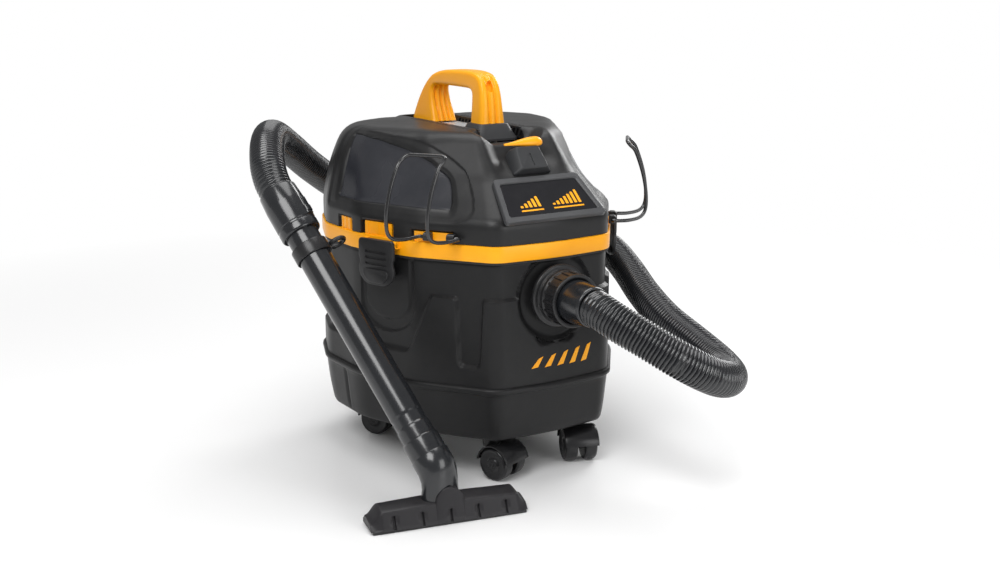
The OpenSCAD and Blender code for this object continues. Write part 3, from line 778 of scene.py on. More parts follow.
def makeNozzle():
    place = nozzlePlace()
    half = nozzleSizes["width"] / 2
    rings = []
    for x in np.linspace(-half, half, 301):
        end = 1 - smoothStep(abs(x), half - 14, half)
        top = 12 + 12.5 * end + 3.0 * (1 - abs(x) / half)
        boss = nozzleSizes["bossRadius"] ** 2 - x * x
        # the boss stands up in the middle of the face like half a disc
        arch = 24 + math.sqrt(boss) * 0.98 if boss > 0 else 0.0
        frontTop = max(top - 3.5, arch)
        backTop = max(top, arch - 1.5)
        foot = 3.0
        slit = max(0.0, *(1 - smoothStep(abs(x - spot), 0.9, 1.7) for spot in nozzleSizes["notches"]))
        flare = max(0.0, *(1 - smoothStep(abs(x - spot), 1.6, 6.0) for spot in nozzleSizes["notches"]))
        face = -20 + 3.2 * (1 - end)
        ring = []
        for k in range(19):   # up the front face
            t = k / 18
            z = foot + t * (frontTop - foot)
            y = face + 5.5 * t + (-0.8 if t < 0.06 else 0.0)
            y += (3.2 * slit + 1.3 * flare * smoothStep(z, 7.0, 11.0)) * (1 - smoothStep(z, 15.5, 18.0))
            ring.append((x, y, z))
        lip = -20 + 5.5 + 3.2 * (1 - end)
        ring.append((x, lip + 1.2, frontTop + 0.9))
        for k in range(1, 6):   # over the top to the rear lip
            t = k / 5
            ring.append((x, lip + 1.2 + t * 20,
                frontTop + 0.9 + (backTop - frontTop) * math.sin(t * math.pi / 2)))
        ring.append((x, 12.0, backTop - 1.5))
        ring.append((x, 16.0, (backTop + foot) * 0.5))
        ring.append((x, 19.0 - 3 * (1 - end), foot + 2.0))
        ring.append((x, 19.0 - 3 * (1 - end), foot))
        ring.append((x, 13, foot))
        inner = foot + 0.2 if abs(x) > half - 5 else foot + 10.0 * smoothStep(half - abs(x), 5, 6)
        ring.append((x, 12.5, inner))
        ring.append((x, -12.5, inner))
        ring.append((x, -13, foot))
        rings.append([place @ Vector(p) for p in ring])
    parts = [loft(rings)]
    socket = roundedProfile([(19.52, 0), (19.52, 30), (20.2, 30), (21.0, 28.6), (21.2, -4), (16, -4),
        (16, 0)], 0.7)
    # the neck runs from the tilted socket down into the top of the head
    rings = []
    for start, share in ((9, 0.0), (8, 0.0), (-6, 0.0), (-12, 0.12), (-14, 0.35), (-14, 0.65), (-14, 1.0)):
        ring = []
        for k in range(72):
            a = 2 * math.pi * k / 72
            wide = 21.3 if start == 9 else 21.9
            high = upWand(start) @ Vector((wide * math.cos(a), wide * math.sin(a), 0))
            low = place.inverted() @ high
            low = place @ Vector((low.x * 1.1, max(-13.0, min(14.0, low.y * 0.8)), 20.0))
            ring.append(high.lerp(low, share))
        rings.append(ring)
    neck = [lathe(socket, upWand(0), 72), loft(rings)]
    buildPiece("nozzle_socket", neck, "tank_body", "wandBlack", sharp=38)
    return buildPiece("nozzle_head", parts, "tank_body", "nozzleGrey", ["nozzle"], sharp=38)


def makeNozzleStrips():
    place = nozzlePlace()
    half = nozzleSizes["width"] / 2 - 2
    parts = []
    for y in (-19.4, 15):
        outline = roundedProfile([(-half, y), (half, y), (half, y + 4), (-half, y + 4)], 1.0)
        parts.append(extrude(outline, 0.0, 3.0, place))
    return buildPiece("sole_strips", parts, "tank_body", "gripBlack", ["nozzle_strip"],
        bevel=0.5)


makeNozzle()
makeNozzleStrips()
print("nozzle made")

# tank
tankSizes = {
    "rimRoll": 0.8,
    "columns": 760, "rows": 90, "step": 5.0, "chamfer": 4.2, "innerInset": 9.5, "foot": 117.0,
    "dish": {"u": 1.0, "z": 219.0, "radius": 53.0, "depth": 5.0, "slope": 6.5},
    "pocket": {"half": 43.0, "low": 170.0, "depth": 3.0},
    "pad": {"half": 36.0, "low": 184.0, "rise": 1.6},
}


def reliefOutline():
    # the raised lower part of the wall, seen unrolled: girth distance across, height up
    top, mid, low = 223.5, 154.0, 143.0
    corners = [(40, 196), (47, 214), (49, top), (96, top), (100, low), (123, low), (126, top), (160, top),
               (191, mid), (320, mid), (420, mid), (700, mid), (700, 60), (-10, 60), (-10, 170), (20, 166)]
    return roundedProfile(corners, 5.0, 4)


reliefEdge = reliefOutline()


def tankInset(u, z):
    # how far the wall stands in from the plan, with the relief, the port's dish and the latch pockets
    u = (np.asarray(u, float) + girth / 2) % girth - girth / 2
    across = np.abs(u)
    raised = insideDepth(across, z, reliefEdge)
    inset = tankSizes["step"] * (1 - smoothStep(raised, -0.5, tankSizes["chamfer"] - 0.5))
    dish = tankSizes["dish"]
    reach = dish["radius"] - np.hypot(u - dish["u"], z - dish["z"])
    deep = smoothStep(reach, 0.0, dish["slope"]) * (dish["depth"] + 2.0)
    inset = np.where(reach > 0, np.maximum(inset * (1 - smoothStep(reach, 0, 1.0)), deep), inset)
    pocket, pad = tankSizes["pocket"], tankSizes["pad"]
    for shape, change in ((pocket, pocket["depth"]), (pad, -pad["rise"])):
        bottom = shape["low"] + shape["half"] * 0.75
        aside = np.abs(across - latchU)
        within = shape["half"] - np.hypot(aside, np.minimum(0, z - bottom) / 0.75)
        inset = inset + change * smoothStep(within, 0.0, 2.4)
    # the edge turns in a little just under the rim
    inset = inset + tankSizes["rimRoll"] * (1 - smoothStep(body["rim"] - z, 0.0, 2.0))
    return inset


def wallPoint(u, z, lift=0.0):
    inset = tankInset(u, z) - lift
    flat = loopAt(rawPlan, u) - outwardAt(u) * np.asarray(inset)[..., None]
    high = np.broadcast_to(np.asarray(z, float)[..., None], flat.shape[:-1] + (1,))
    return np.concatenate([flat, high], axis=-1)


def makeTank():
    columns = tankSizes["columns"]
    spots = np.linspace(0, girth, columns, endpoint=False)
    heights = np.linspace(tankSizes["foot"], body["rim"], tankSizes["rows"])
    grid = wallPoint(*np.meshgrid(spots, heights))
    rings = [grid[i] for i in range(len(heights))]
    inner = loopAt(rawPlan, spots)
    rightIn = outwardAt(spots)

    def innerRing(inset, z):
        flat = inner - rightIn * inset
        return np.column_stack([flat, np.full(columns, z)])

    rings.append(innerRing(5.6, body["rim"] - 0.2))
    rings.append(innerRing(6.4, body["rim"] - 2.0))
    for z in (255, 200, 150, 124):
        rings.append(innerRing(tankSizes["innerInset"], z))
    rings.append(innerRing(14, 118))
    rings.append(innerRing(14, 69))
    rings.append(innerRing(18, 67))
    closing = innerRing(18, 67)
    rings.append(closing * [0.02, 0.02, 1])
    rings.append(innerRing(18, 64) * [0.02, 0.02, 1])
    rings.append(innerRing(11, 64))
    rings.append(innerRing(9.2, 66))
    rings.append(innerRing(9.2, 112))
    parts = [loft(rings, wrap=True)]
    for s in (1, -1):
        parts.append(block((-5.5, -15, 239), (3.4, 15, 243), latchPlace(s)))
    data = cutWith("tank", parts, [extrude(circle(bores["hosePort"], 64), 0, 60, forward(-140))])
    return finishPiece("tank_shell", data, "tank_body", "tankBlack", ["tank"], sharp=40)


def mirrorFor(s):
    return Matrix.Scale(-1, 4, (1, 0, 0)) if s < 0 else Matrix.Identity(4)


def latchPlace(s):
    return mirrorFor(s) @ at(157.3, -43, 0, ("Z", -20.9))


def bailPlace(s):
    return mirrorFor(s) @ at(119.5, -112.5, 0, ("Z", -37.3))


tankPiece = makeTank()
print("tank made,", len(tankPiece.data.polygons), "faces")


def makeSkirt():
    # base moulding: a rolled bead at the top, walls drawn in towards the floor
    spots = np.linspace(0, girth, 420, endpoint=False)
    flat, out = loopAt(rawPlan, spots), outwardAt(spots)
    section = [(-1.0, 118.3), (1.6, 118.0), (3.4, 116.6), (4.0, 114.4), (3.6, 112.2), (2.2, 110.8),
        (0.6, 109.6),
               (0.0, 108.4), (-0.4, 104), (-1.6, 92), (-3.0, 78), (-4.8, 64), (-6.4, 56), (-8.0, 53),
                   (-10.5, 52),
               (-12, 53.5), (-11, 63.2), (-8.8, 63.6), (-8.8, 117.6)]
    rings = []
    for inset, z in section:
        shift = np.full(len(spots), inset)
        if inset > -9 and 62 < z < 106:
            # drain slots low on each flank
            for s in (1, -1):
                near = np.abs((spots - s * 302 + girth / 2) % girth - girth / 2)
                shift = shift - 2.2 * (1 - smoothStep(near, 1.6, 3.2))
        rings.append(np.column_stack([flat + out * shift[:, None], np.full(len(spots), z)]))
    return buildPiece("base_moulding", [loft(rings, wrap=True)], "tank_body", "tankBlack", ["base_skirt"],
        sharp=42)


makeSkirt()
print("skirt made")

# head: ring and cover
ringSizes = {"low": 265.8, "high": 284.5, "wall": 8.0}
# openings along the foot of the cover: girth distance from the middle of the front, low and high edges
windows = [(280, 314, 283.4, 300.5), (211, 262, 286.5, 301.5), (130, 186, 284.2, 297.5)]
coverSizes = {"columns": 640, "foot": 285.0, "footTop": 310.0, "waist": 354.0, "crown": 402.0, "stand": 2.2,
              "channelHalf": (31.0, 106.0), "channelMiddle": (0.0, 40.0), "channelFloor": 386.0,
                  "wall": 3.4}


def ringLoop(count, inset, z):
    spots = np.linspace(0, girth, count, endpoint=False)
    flat = loopAt(rawPlan, spots) - outwardAt(spots) * inset
    return np.column_stack([flat, np.full(count, z)])


def makeRing():
    low, high = ringSizes["low"], ringSizes["high"]
    section = [(1.2, low), (0.3, low + 0.5), (0.0, low + 1.6), (0.0, high - 1.6), (0.4, high - 0.4),
        (1.4, high),
               (7.2, high), (8.0, high - 0.6), (8.0, low + 0.6), (7.4, low)]
    parts = [loft([ringLoop(420, inset, z) for inset, z in section], wrap=True)]
    # ears that carry the latch pins
    for s in (1, -1):
        place = latchPlace(s)
        for y in (20, -26):
            ear = [(-4, -4.3), (5, -4.3), (8.2, -3.0), (9.4, 0), (8.2, 3.0), (5, 4.3), (-4, 4.3)]
            side = place @ at(0, y, 278, ("X", -90))
            outline = roundedProfile([(x, -z) for x, z in ear], 1.6)
            parts.append(extrude(outline, 0, 6, side))
    # tabs that stand behind the cover's windows, with a gap at one end of each
    for near, far, _, z1 in windows:
        for s in (1, -1):
            u = np.linspace(near + 3, far - 6, 26)
            spots = np.mod(s * u, girth)
            rings = []
            for spot in spots:
                base, out = loopAt(rawPlan, spot), outwardAt(spot)
                a, b = base - out * 3.4, base - out * 7.6
                rings.append([(*a, high - 2), (*a, z1 - 1.2), (*b, z1 - 1.2), (*b, high - 2)])
            parts.append(loft(rings))
            for share in (0.12, 0.5, 0.88):
                spot = float(s * (near + 3 + share * (far - near - 9)))
                base, out = loopAt(rawPlan, spot), outwardAt(spot)
                along = np.array([-out[1], out[0]])
                corners = [base - out * 3.6 - along * 1.2, base - out * 2.7 - along * 0.9,
                           base - out * 2.7 + along * 0.9, base - out * 3.6 + along * 1.2]
                parts.append(extrude([tuple(c) for c in corners], high - 1, z1 - 1.6))
    return buildPiece("yellow_ring", parts, "head", "signalYellow", ["head_ring"],
        sharp=40)


def roundedBox(direction, half, middle, radius):
    # where a ray from the middle leaves a rounded rectangle
    dx, dy = direction
    t = min(half[0] / max(abs(dx), 1e-9), half[1] / max(abs(dy), 1e-9))
    x, y = dx * t, dy * t
    ax, ay = abs(x), abs(y)
    cx, cy = half[0] - radius, half[1] - radius
    if ax > cx and ay > cy:
        # solve for the corner arc
        a = dx * dx + dy * dy
        b = -2 * (abs(dx) * cx + abs(dy) * cy)
        c = cx * cx + cy * cy - radius * radius
        t = (-b + math.sqrt(max(0.0, b * b - 4 * a * c))) / (2 * a)
        x, y = dx * t, dy * t
    return middle[0] + x, middle[1] + y


# side panels of the cover, unrolled: girth distance across, height up
cheek = {
    "depth": 2.8, "edge": 2.4, "bevel": 1.6, "bevelReach": 8.0, "fieldDepth": 1.7,
    "corners": [(324, 319.5), (326, 394), (286, 394), (253, 390.5), (234, 386), (214, 380.5), (203, 374.5),
                (192, 368), (167, 360.5), (153, 354), (143, 342), (136, 326), (137, 318.5)],
    "field": [(345, 307.5), (345, 404), (300, 401), (250, 397.5), (200, 392.5), (171, 388), (140, 376),
        (117, 362.5),
              (110, 347), (104.5, 333), (104, 321), (112, 313), (131, 307.5)],
    "film": {"top": [(140, 328), (144, 340), (154, 352.4), (167, 359), (192, 366.4), (203, 373),
        (214, 379), (234, 384.4),
                     (253, 389), (286, 392.4), (322, 392.4)], "foot": 320.8, "columns": 60, "rows": 26},
}
# the hollow that runs from the handle down to the switch
valley = {"flat": 28.0, "rim": 52.0, "crownDrop": 15.0, "browDrop": 7.5, "start": 42.0, "full": 66.0}


def filletPath(stations, spread, per=7):
    # a bent line through the stations, each inner bend eased over the given spread
    out = [stations[0]]
    for i in range(1, len(stations) - 1):
        p, q, s = stations[i - 1], stations[i], stations[i + 1]
        back, ahead = p - q, s - q
        lb = np.linalg.norm(back, axis=-1, keepdims=True)
        la = np.linalg.norm(ahead, axis=-1, keepdims=True)
        r = np.minimum(spread[i], 0.48 * np.minimum(lb, la))
        a, b = q + back / lb * r, q + ahead / la * r
        for k in range(per + 1):
            t = k / per
            out.append((1 - t) ** 2 * a + 2 * t * (1 - t) * q + t * t * b)
    out.append(stations[-1])
    return out


def densify(rows, step):
    out = [rows[0]]
    for a, b in zip(rows[:-1], rows[1:]):
        far = float(np.max(np.linalg.norm(b - a, axis=-1)))
        parts = max(1, int(math.ceil(far / step)))
        for k in range(1, parts + 1):
            out.append(a + (b - a) * k / parts)
    return out


slopeLow, slopeHigh = (-173.0, 310.0), (-122.6, 354.0)
slopeLength = math.hypot(slopeHigh[0] - slopeLow[0], slopeHigh[1] - slopeLow[1])
slopeAngle = math.degrees(math.atan2(slopeHigh[1] - slopeLow[1], slopeHigh[0] - slopeLow[0]))
browAngle = math.degrees(math.atan2(48, 122.6 - 83.05))


def coverRows():
    # the outer skin as rows of points, from the foot over the crown to the edge of the handle's channel
    sizes = coverSizes
    spots = np.linspace(0, girth, sizes["columns"], endpoint=False)
    out = outwardAt(spots)
    plan = loopAt(rawPlan, spots) - out * sizes["stand"]
    waist = loopAt(rawWaist, spots) * (1 - 2 / 176)
    crown = loopAt(rawCrown, spots) * (1 - 2 / 176)

    def level(flat, z):
        return np.column_stack([flat, np.broadcast_to(z, len(spots))])

    edge = []
    for x, y in crown - np.array(sizes["channelMiddle"]):
        length = math.hypot(x, y)
        edge.append(roundedBox((x / length, y / length), sizes["channelHalf"], sizes["channelMiddle"], 9.0))
    edge = np.array(edge)
    stations = [level(plan, sizes["foot"]), level(plan, sizes["footTop"]), level(waist, sizes["waist"]),
                level(crown, sizes["crown"]), level(edge, sizes["crown"])]
    front = smoothStep(-plan[:, 1], 60, 130)[:, None]
    spread = {1: 9.0, 2: 22.0 - 12.0 * front, 3: 26.0 - 12.0 * front}
    rows = filletPath(stations, spread)
    return spots, out, densify(rows, 2.6), edge


def coverRelief(spots, rows):
    # presses the windows, the cheek panels and the valley in front of the handle into the skin
    u = (spots + girth / 2) % girth - girth / 2
    done = []
    for row in rows:
        shift = np.zeros(len(spots))
        z = row[:, 2]
        for near, far, z0, z1 in windows:
            outline = roundedProfile([(near, z0 - 6), (far, z0 - 6), (far, z1), (near, z1)], 3.0, 3)
            inside = insideDepth(np.abs(u), z, outline)
            shift += 5.2 * smoothStep(inside, 0.0, 1.4)
        flank = insideDepth(np.abs(u), z, roundedProfile(cheek["corners"], 6.0, 4))
        field = insideDepth(np.abs(u), z, roundedProfile(cheek["field"], 6.0, 3))
        shift += cheek["depth"] * smoothStep(flank, 0.0, cheek["edge"])
        shift += cheek["bevel"] * smoothStep(flank, -cheek["bevelReach"], 0.0)
        shift += cheek["fieldDepth"] * smoothStep(field, 0.0, 2.6)
        outwards = np.column_stack([outwardAt(spots), np.zeros(len(spots))])
        done.append(pressValley(row - outwards * shift[:, None]))
    return done


def pressValley(points):
    # lowers the middle of the front, from the handle's channel down to the switch
    made = np.array(points, float)
    x, y, z = made.T
    share = (1 - smoothStep(np.abs(x), valley["flat"], valley["rim"])) * smoothStep(-y, valley["start"],
        valley["full"])
    brow = valley["browDrop"] * share * smoothStep(z, 352.0, 378.0)
    tilt = math.radians(browAngle)
    made[:, 1] += brow * math.sin(tilt)
    made[:, 2] -= brow * math.cos(tilt)
    made[:, 2] = np.minimum(made[:, 2], np.where(share > 0,
        coverSizes["crown"] - valley["crownDrop"] * share, 1e9))
    return made


def coverPoint(u, z, lift=0.0):
    # point of the cover's pressed skin at a girth distance and height
    rows, spots = coverSkin
    near = np.mod(u, girth) / girth * len(spots)
    i = int(near) % len(spots)
    columns = []
    for k in (i, (i + 1) % len(spots)):
        line = rows[:, k]
        below = int(np.argmax(line[:, 2] >= z))
        a, b = line[below - 1], line[below]
        columns.append(a + (b - a) * (z - a[2]) / max(b[2] - a[2], 1e-6))
    point = columns[0] + (columns[1] - columns[0]) * (near - int(near))
    return point + np.append(outwardAt(u), 0.0) * lift


coverSkin = []


def makeCover():
    sizes = coverSizes
    spots, out, rows, edge = coverRows()
    rows = coverRelief(spots, rows)
    coverSkin.extend([np.array(rows), spots])
    count = len(spots)

    def level(flat, z):
        return np.column_stack([flat, np.broadcast_to(z, count)])

    middle = np.array(sizes["channelMiddle"])
    inEdge = middle + (edge - middle) * 0.985
    lip = [level(edge + (edge - middle) * 0.02, sizes["crown"]), level(edge, sizes["crown"] - 1.0),
        level(edge, sizes["channelFloor"] + 1.5),
           level(inEdge, sizes["channelFloor"]),
               level(middle + (edge - middle) * 0.01, sizes["channelFloor"])]
    lip = [pressValley(row) for row in lip]
    rows[-1] = lip[0]
    under = [level(middle + (edge - middle) * 0.01, sizes["channelFloor"] - 5)]
    crownIn = loopAt(rawCrown, spots) * 0.93
    waistIn = loopAt(rawWaist, spots) * 0.93
    planIn = loopAt(rawPlan, spots) - out * 9.4
    under += [level(crownIn, sizes["channelFloor"] - 5), level(waistIn, 346), level(planIn, 306),
        level(planIn, sizes["foot"])]
    skin = [np.array(r) for r in rows + lip[1:] + under]
    data = cutWith("cover", [loft(skin, wrap=True)], [
        extrude(circle(bores["blower"], 64), 0, 60, backward(0, 140, 334)),
        extrude(circle(bores["gland"], 32), 0, 60, backward(78, 140, 312)),
        panelBlock(-3.2, 60, 71.5, 60.5, -1.0, slopeLength - 1.2),
    ])
    return finishPiece("motor_cover", data, "head", "headBlack", ["head_cover"], sharp=34)


def onSlope(lift):
    return at(0, *slopeLow, ("X", slopeAngle)) @ Matrix.Translation((0, 0, lift))


def onBrow(lift):
    return at(0, *slopeHigh, ("X", browAngle)) @ Matrix.Translation((0, 0, lift))


def trapezoid(low, high, start, end, radius=4.0, steps=4):
    return roundedProfile([(-low, start), (low, start), (high, end), (-high, end)], radius, steps)


def panelBlock(low, high, wide, narrow, start, end):
    return extrude(trapezoid(wide, narrow, start, end, 5.0), low, high, onSlope(0))


def makeCheeks():
    # smooth dark panels that line the pressed flanks
    film = cheek["film"]
    across, top = zip(*film["top"])
    for s, label in ((1, "right"), (-1, "left")):
        grid = []
        for j in range(film["rows"] + 1):
            for i in range(film["columns"] + 1):
                u = across[0] + (across[-1] - across[0]) * i / film["columns"]
                high = float(np.interp(u, across, top))
                grid.append((s * u, film["foot"] + (high - film["foot"]) * j / film["rows"]))
        parts = [filmFrom(grid, film["columns"] + 1, film["rows"] + 1, lambda u, z,
            lift: tuple(coverPoint(u, z, lift + 0.35)))]
        buildPiece("cheek_panel_" + label, parts, "head", "cheekBlack", sharp=50)


makeRing()
coverPiece = makeCover()
makeCheeks()
print("ring and cover made,", len(coverPiece.data.polygons), "faces")


marks = {"groups": ((-26, 5, 15.0), (24, 7, 19.0)), "pitch": 6.0, "foot": 21, "halfBar": 1.9,
         "line": (15.6, 17.6)}


def makePanel():
    place = onSlope(0)
    outer = trapezoid(69, 58, 1, slopeLength - 2, 5.0)
    inner = trapezoid(61, 52, 9, slopeLength - 10, 3.5)
    rings = [(outer, -2.9), (outer, 1.4), ([(x * 0.988, 1 + (y - 1) * 0.985 + 0.4) for x, y in outer], 2.5),
             ([(x * 1.02, (y - 30) * 1.03 + 30) for x, y in inner], 2.6), (inner, 1.4), (inner, -2.9)]
    rows = [[place @ Vector((x, y, z)) for x, y in outline] for outline, z in rings]
    buildPiece("panel_frame", [loft(rows, wrap=True)], "head", "trimGrey", ["spec_bezel"],
        sharp=30)
    label = trapezoid(60.6, 51.6, 9.3, slopeLength - 10.3, 3.2)
    rows = [[place @ Vector((x * k, 30 + (y - 30) * k, z)) for x, y in label] for k, z in
            ((1, -2.9), (1, 0.3), (0.99, 0.7))]
    buildPiece("panel_face", [loft(rows)], "head", "labelGloss", ["spec_label"], sharp=30)
    # plain gauge marks in place of any wording: rising bars over a line
    parts = []
    pitch, foot, half = marks["pitch"], marks["foot"], marks["halfBar"]
    lineLow, lineHigh = marks["line"]
    for middle, count, tall in marks["groups"]:
        for k in range(count):
            x = middle + (k - (count - 1) / 2) * pitch
            high = foot + tall * (k + 1) / count
            outline = roundedProfile([(x - half, foot), (x + half, foot), (x + half - 0.2, high),
                                      (x - half + 0.2, high)], 0.8)
            parts.append(extrude(outline, 0.6, 0.95, place))
        width = count * 3.0
        outline = roundedProfile([(middle - width, lineLow), (middle + width, lineLow),
                                  (middle + width, lineHigh), (middle - width, lineHigh)], 0.7)
        parts.append(extrude(outline, 0.6, 0.95, place))
    buildPiece("panel_marks", parts, "head", "signalYellow")


def makeSwitch():
    place = onBrow(0)
    low = trapezoid(26, 20, 3, 37, 3.0)
    high = trapezoid(19, 16, 5, 35, 3.0)
    rows = [(low, -13), (low, 0.0), (high, 8.6), ([(x * 0.94, 20 + (y - 20) * 0.94) for x, y in high], 9.4)]
    data = cutWith("switch", [loft([[place @ Vector((x, y, z)) for x, y in outline] for outline,
        z in rows])],
                   [extrude([(-0.9, 9), (0.9, 9), (0.9, 25), (-0.9, 25)], 8.2, 12, place)])
    finishPiece("switch_housing", data, "head", "plinthGrey", ["switch_block"], sharp=30,
        bevel=0.5)
    lever = onBrow(3.4) @ Matrix.Translation((0, 41, 0))
    rings = []
    for x in np.linspace(-26, 26, 41):
        # thin at one end, thick and blunt at the other
        share = smoothStep(x, -28, 14) * math.sqrt(max(0.0, 1 - max(0.0, (x - 16) / 10) ** 2))
        deep, tall = 1.4 + 4.8 * share, 1.6 + 6.4 * share
        ring = []
        for k in range(16):
            a = 2 * math.pi * k / 16
            ring.append(lever @ Vector((x, 1.0 + deep * math.cos(a),
                max(0.0, tall * (0.45 + 0.55 * math.sin(a))))))
        rings.append(ring)
    buildPiece("switch_paddle", [loft(rings)], "switch", "signalYellow", ["switch_lever"],
        sharp=50)


makePanel()
makeSwitch()
print("panel and switch made")


# handle
handleSizes = {"top": 467.0, "foot": 398.3, "halfFoot": 18.0, "halfGrip": 13.5, "stations": 90}


def arcPoint(points, t):
    # a rounded line through the points, read at a share of its length
    line = catmull([(x, z, 0) for x, z in points], 10)
    gaps = np.linalg.norm(np.diff(line, axis=0), axis=1)
    far = np.concatenate([[0], np.cumsum(gaps)]) / gaps.sum()
    return np.array([np.interp(t, far, line[:, 0]), np.interp(t, far, line[:, 1])])


def makeHandle():
    foot, top = handleSizes["foot"], handleSizes["top"]
    outer = [(-35, foot), (-34, 410), (-32, 430), (-29, 446), (-23, 458), (-11, 464.6), (12, top),
        (50, 466), (76, 463.4),
             (97, 457.5), (112, 447), (126, 430), (138, 408), (141, foot)]
    inner = [(-5, foot), (-5, 404), (-4.4, 422), (-3.4, 437), (0, 443.6), (7, 445.6), (20, 446),
        (50, 446), (82, 445.6),
             (92, 443), (96, 436), (93, 422), (87, 408), (83, foot)]
    rings = []
    steps = handleSizes["stations"]
    for i in range(steps + 1):
        t = i / steps
        o, n = arcPoint(outer, t), arcPoint(inner, t)
        high = min(1.0, max(0.0, (0.5 * (o[1] + n[1]) - foot) / 50))
        half = handleSizes["halfFoot"] + (handleSizes["halfGrip"] - handleSizes["halfFoot"]) * high
        thick = float(np.linalg.norm(o - n))
        radius = min(7.0, 0.42 * thick, 0.45 * half)
        outline = roundedProfile([(-half, 0), (half, 0), (half, thick), (-half, thick)], radius, 5)
        # more points along the two long faces, so that the flutes have something to bend
        fine = []
        for k, (x, d) in enumerate(outline):
            x2, d2 = outline[(k + 1) % len(outline)]
            parts = {5: 26, 11: 3, 17: 26, 23: 3}.get(k, 1)
            fine.extend((x + (x2 - x) * q / parts, d + (d2 - d) * q / parts) for q in range(parts))
        frontLeg = smoothStep(0.30 - t, 0.0, 0.05)
        rearLeg = smoothStep(t - 0.72, 0.0, 0.05)
        ring = []
        for x, d in fine:
            share = d / thick
            if share > 0.95:
                d -= 3.0 * math.exp(-((abs(x) - 4.6) / 1.7) ** 2) * frontLeg
            if share < 0.05:
                d += 3.4 * (math.exp(-(x / 1.5) ** 2) + math.exp(-((abs(x) - 7.0) / 1.5) ** 2)) * rearLeg
            p = n + (o - n) * (d / thick)
            ring.append((x, p[0], p[1]))
        rings.append(ring)
    data = cutWith("handle", [loft(rings)], [
        lathe([(0.01, -6), (4.6, -6), (5.4, 9), (0.01, 9)],
        at(0, -26.5, 450, ("X", 66)) @ Matrix.Scale(1.55, 4, (0, 1, 0)), 40),
    ])
    return finishPiece("carry_handle", data, "head", "signalYellow", ["handle"], sharp=45)


def makeDeck():
    # plate between the legs of the handle, and the plinth that its front leg stands on
    rows = []
    for inset, z in ((0, 386.2), (0, 389.5), (1.5, 392.2), (6.0, 396.0), (7.4, 396.4)):
        rows.append([(x, y, z) for x, y in roundedProfile([(-28 + inset, -30 + inset), (28 - inset,
            -30 + inset), (28 - inset, 144 - inset),
                                                (-28 + inset, 144 - inset)], 9 - inset * 0.5, 5)])
    buildPiece("handle_deck", [loft(rows)], "head", "deckGrey", ["handle_base"], sharp=34)
    rows = []
    for grow, z in ((10.5, 386.3), (10.5, 389), (9.0, 391.0), (2.6, 405.0), (1.2, 406.0)):
        left, front, rear = -18.5 - grow, -35.5 - grow, -4.5 + grow
        rows.append([(x, y, z) for x, y in roundedProfile([(left, front), (-left, front), (-left, rear),
            (left, rear)], 8.0, 5)])
    buildPiece("handle_plinth", [loft(rows)], "head", "plinthGrey", sharp=34)


# how far back each screw of the grip stands, and the height of its tip
gripScrews = {-38: 399.0, 96: 407.0}


def makeGripScrews():
    # the front one ends inside the plinth
    parts = []
    for y, tip in gripScrews.items():
        profile = [(0.02, 379.5), (3.6, 379.5), (4, 380), (4, 382.4), (2, 382.6), (2, tip - 0.6),
            (1.4, tip), (0.02, tip)]
        parts.append(lathe(profile, at(0, y, 0), 32))
    buildPiece("grip_screws", parts, "head", "steelPart", ["handle_screws"])


makeHandle()
makeDeck()
makeGripScrews()
print("handle made")

# vents, ports, gland
ventSizes = {"slots": 18, "pitch": 8.2, "start": -42.2, "width": 3.4}


def makeVentTree():
    # a row of instances of one louvre, set a pitch apart along the plate
    tree = bpy.data.node_groups.new("louvreRow", "GeometryNodeTree")
    for label, kind in (("Geometry", "NodeSocketGeometry"), ("Count", "NodeSocketInt"),
        ("Pitch", "NodeSocketFloat"),
                        ("Start", "NodeSocketVector"), ("Size", "NodeSocketVector"),
                            ("Tilt", "NodeSocketFloat"),
                        ("Material", "NodeSocketMaterial")):
        tree.interface.new_socket(name=label, in_out="INPUT", socket_type=kind)
    tree.interface.new_socket(name="Geometry", in_out="OUTPUT", socket_type="NodeSocketGeometry")
    start, end = tree.nodes.new("NodeGroupInput"), tree.nodes.new("NodeGroupOutput")
    link = tree.links.new
    row = tree.nodes.new("GeometryNodeMeshLine")
    link(start.outputs["Count"], row.inputs["Count"])
    link(start.outputs["Start"], row.inputs["Start Location"])
    step = tree.nodes.new("ShaderNodeCombineXYZ")
    link(start.outputs["Pitch"], step.inputs["Y"])
    link(step.outputs[0], row.inputs["Offset"])
    bar = tree.nodes.new("GeometryNodeMeshCube")
    link(start.outputs["Size"], bar.inputs["Size"])
    turn = tree.nodes.new("ShaderNodeCombineXYZ")
    link(start.outputs["Tilt"], turn.inputs["X"])
    spread = tree.nodes.new("GeometryNodeInstanceOnPoints")
    link(row.outputs[0], spread.inputs["Points"])
    link(bar.outputs[0], spread.inputs["Instance"])
    link(turn.outputs[0], spread.inputs["Rotation"])
    join = tree.nodes.new("GeometryNodeJoinGeometry")
    link(spread.outputs[0], join.inputs[0])
    link(start.outputs["Geometry"], join.inputs[0])
    real = tree.nodes.new("GeometryNodeRealizeInstances")
    coat = tree.nodes.new("GeometryNodeSetMaterial")
    link(join.outputs[0], real.inputs[0])
    link(real.outputs[0], coat.inputs[0])
    link(start.outputs["Material"], coat.inputs["Material"])
    link(coat.outputs[0], end.inputs[0])
    return tree


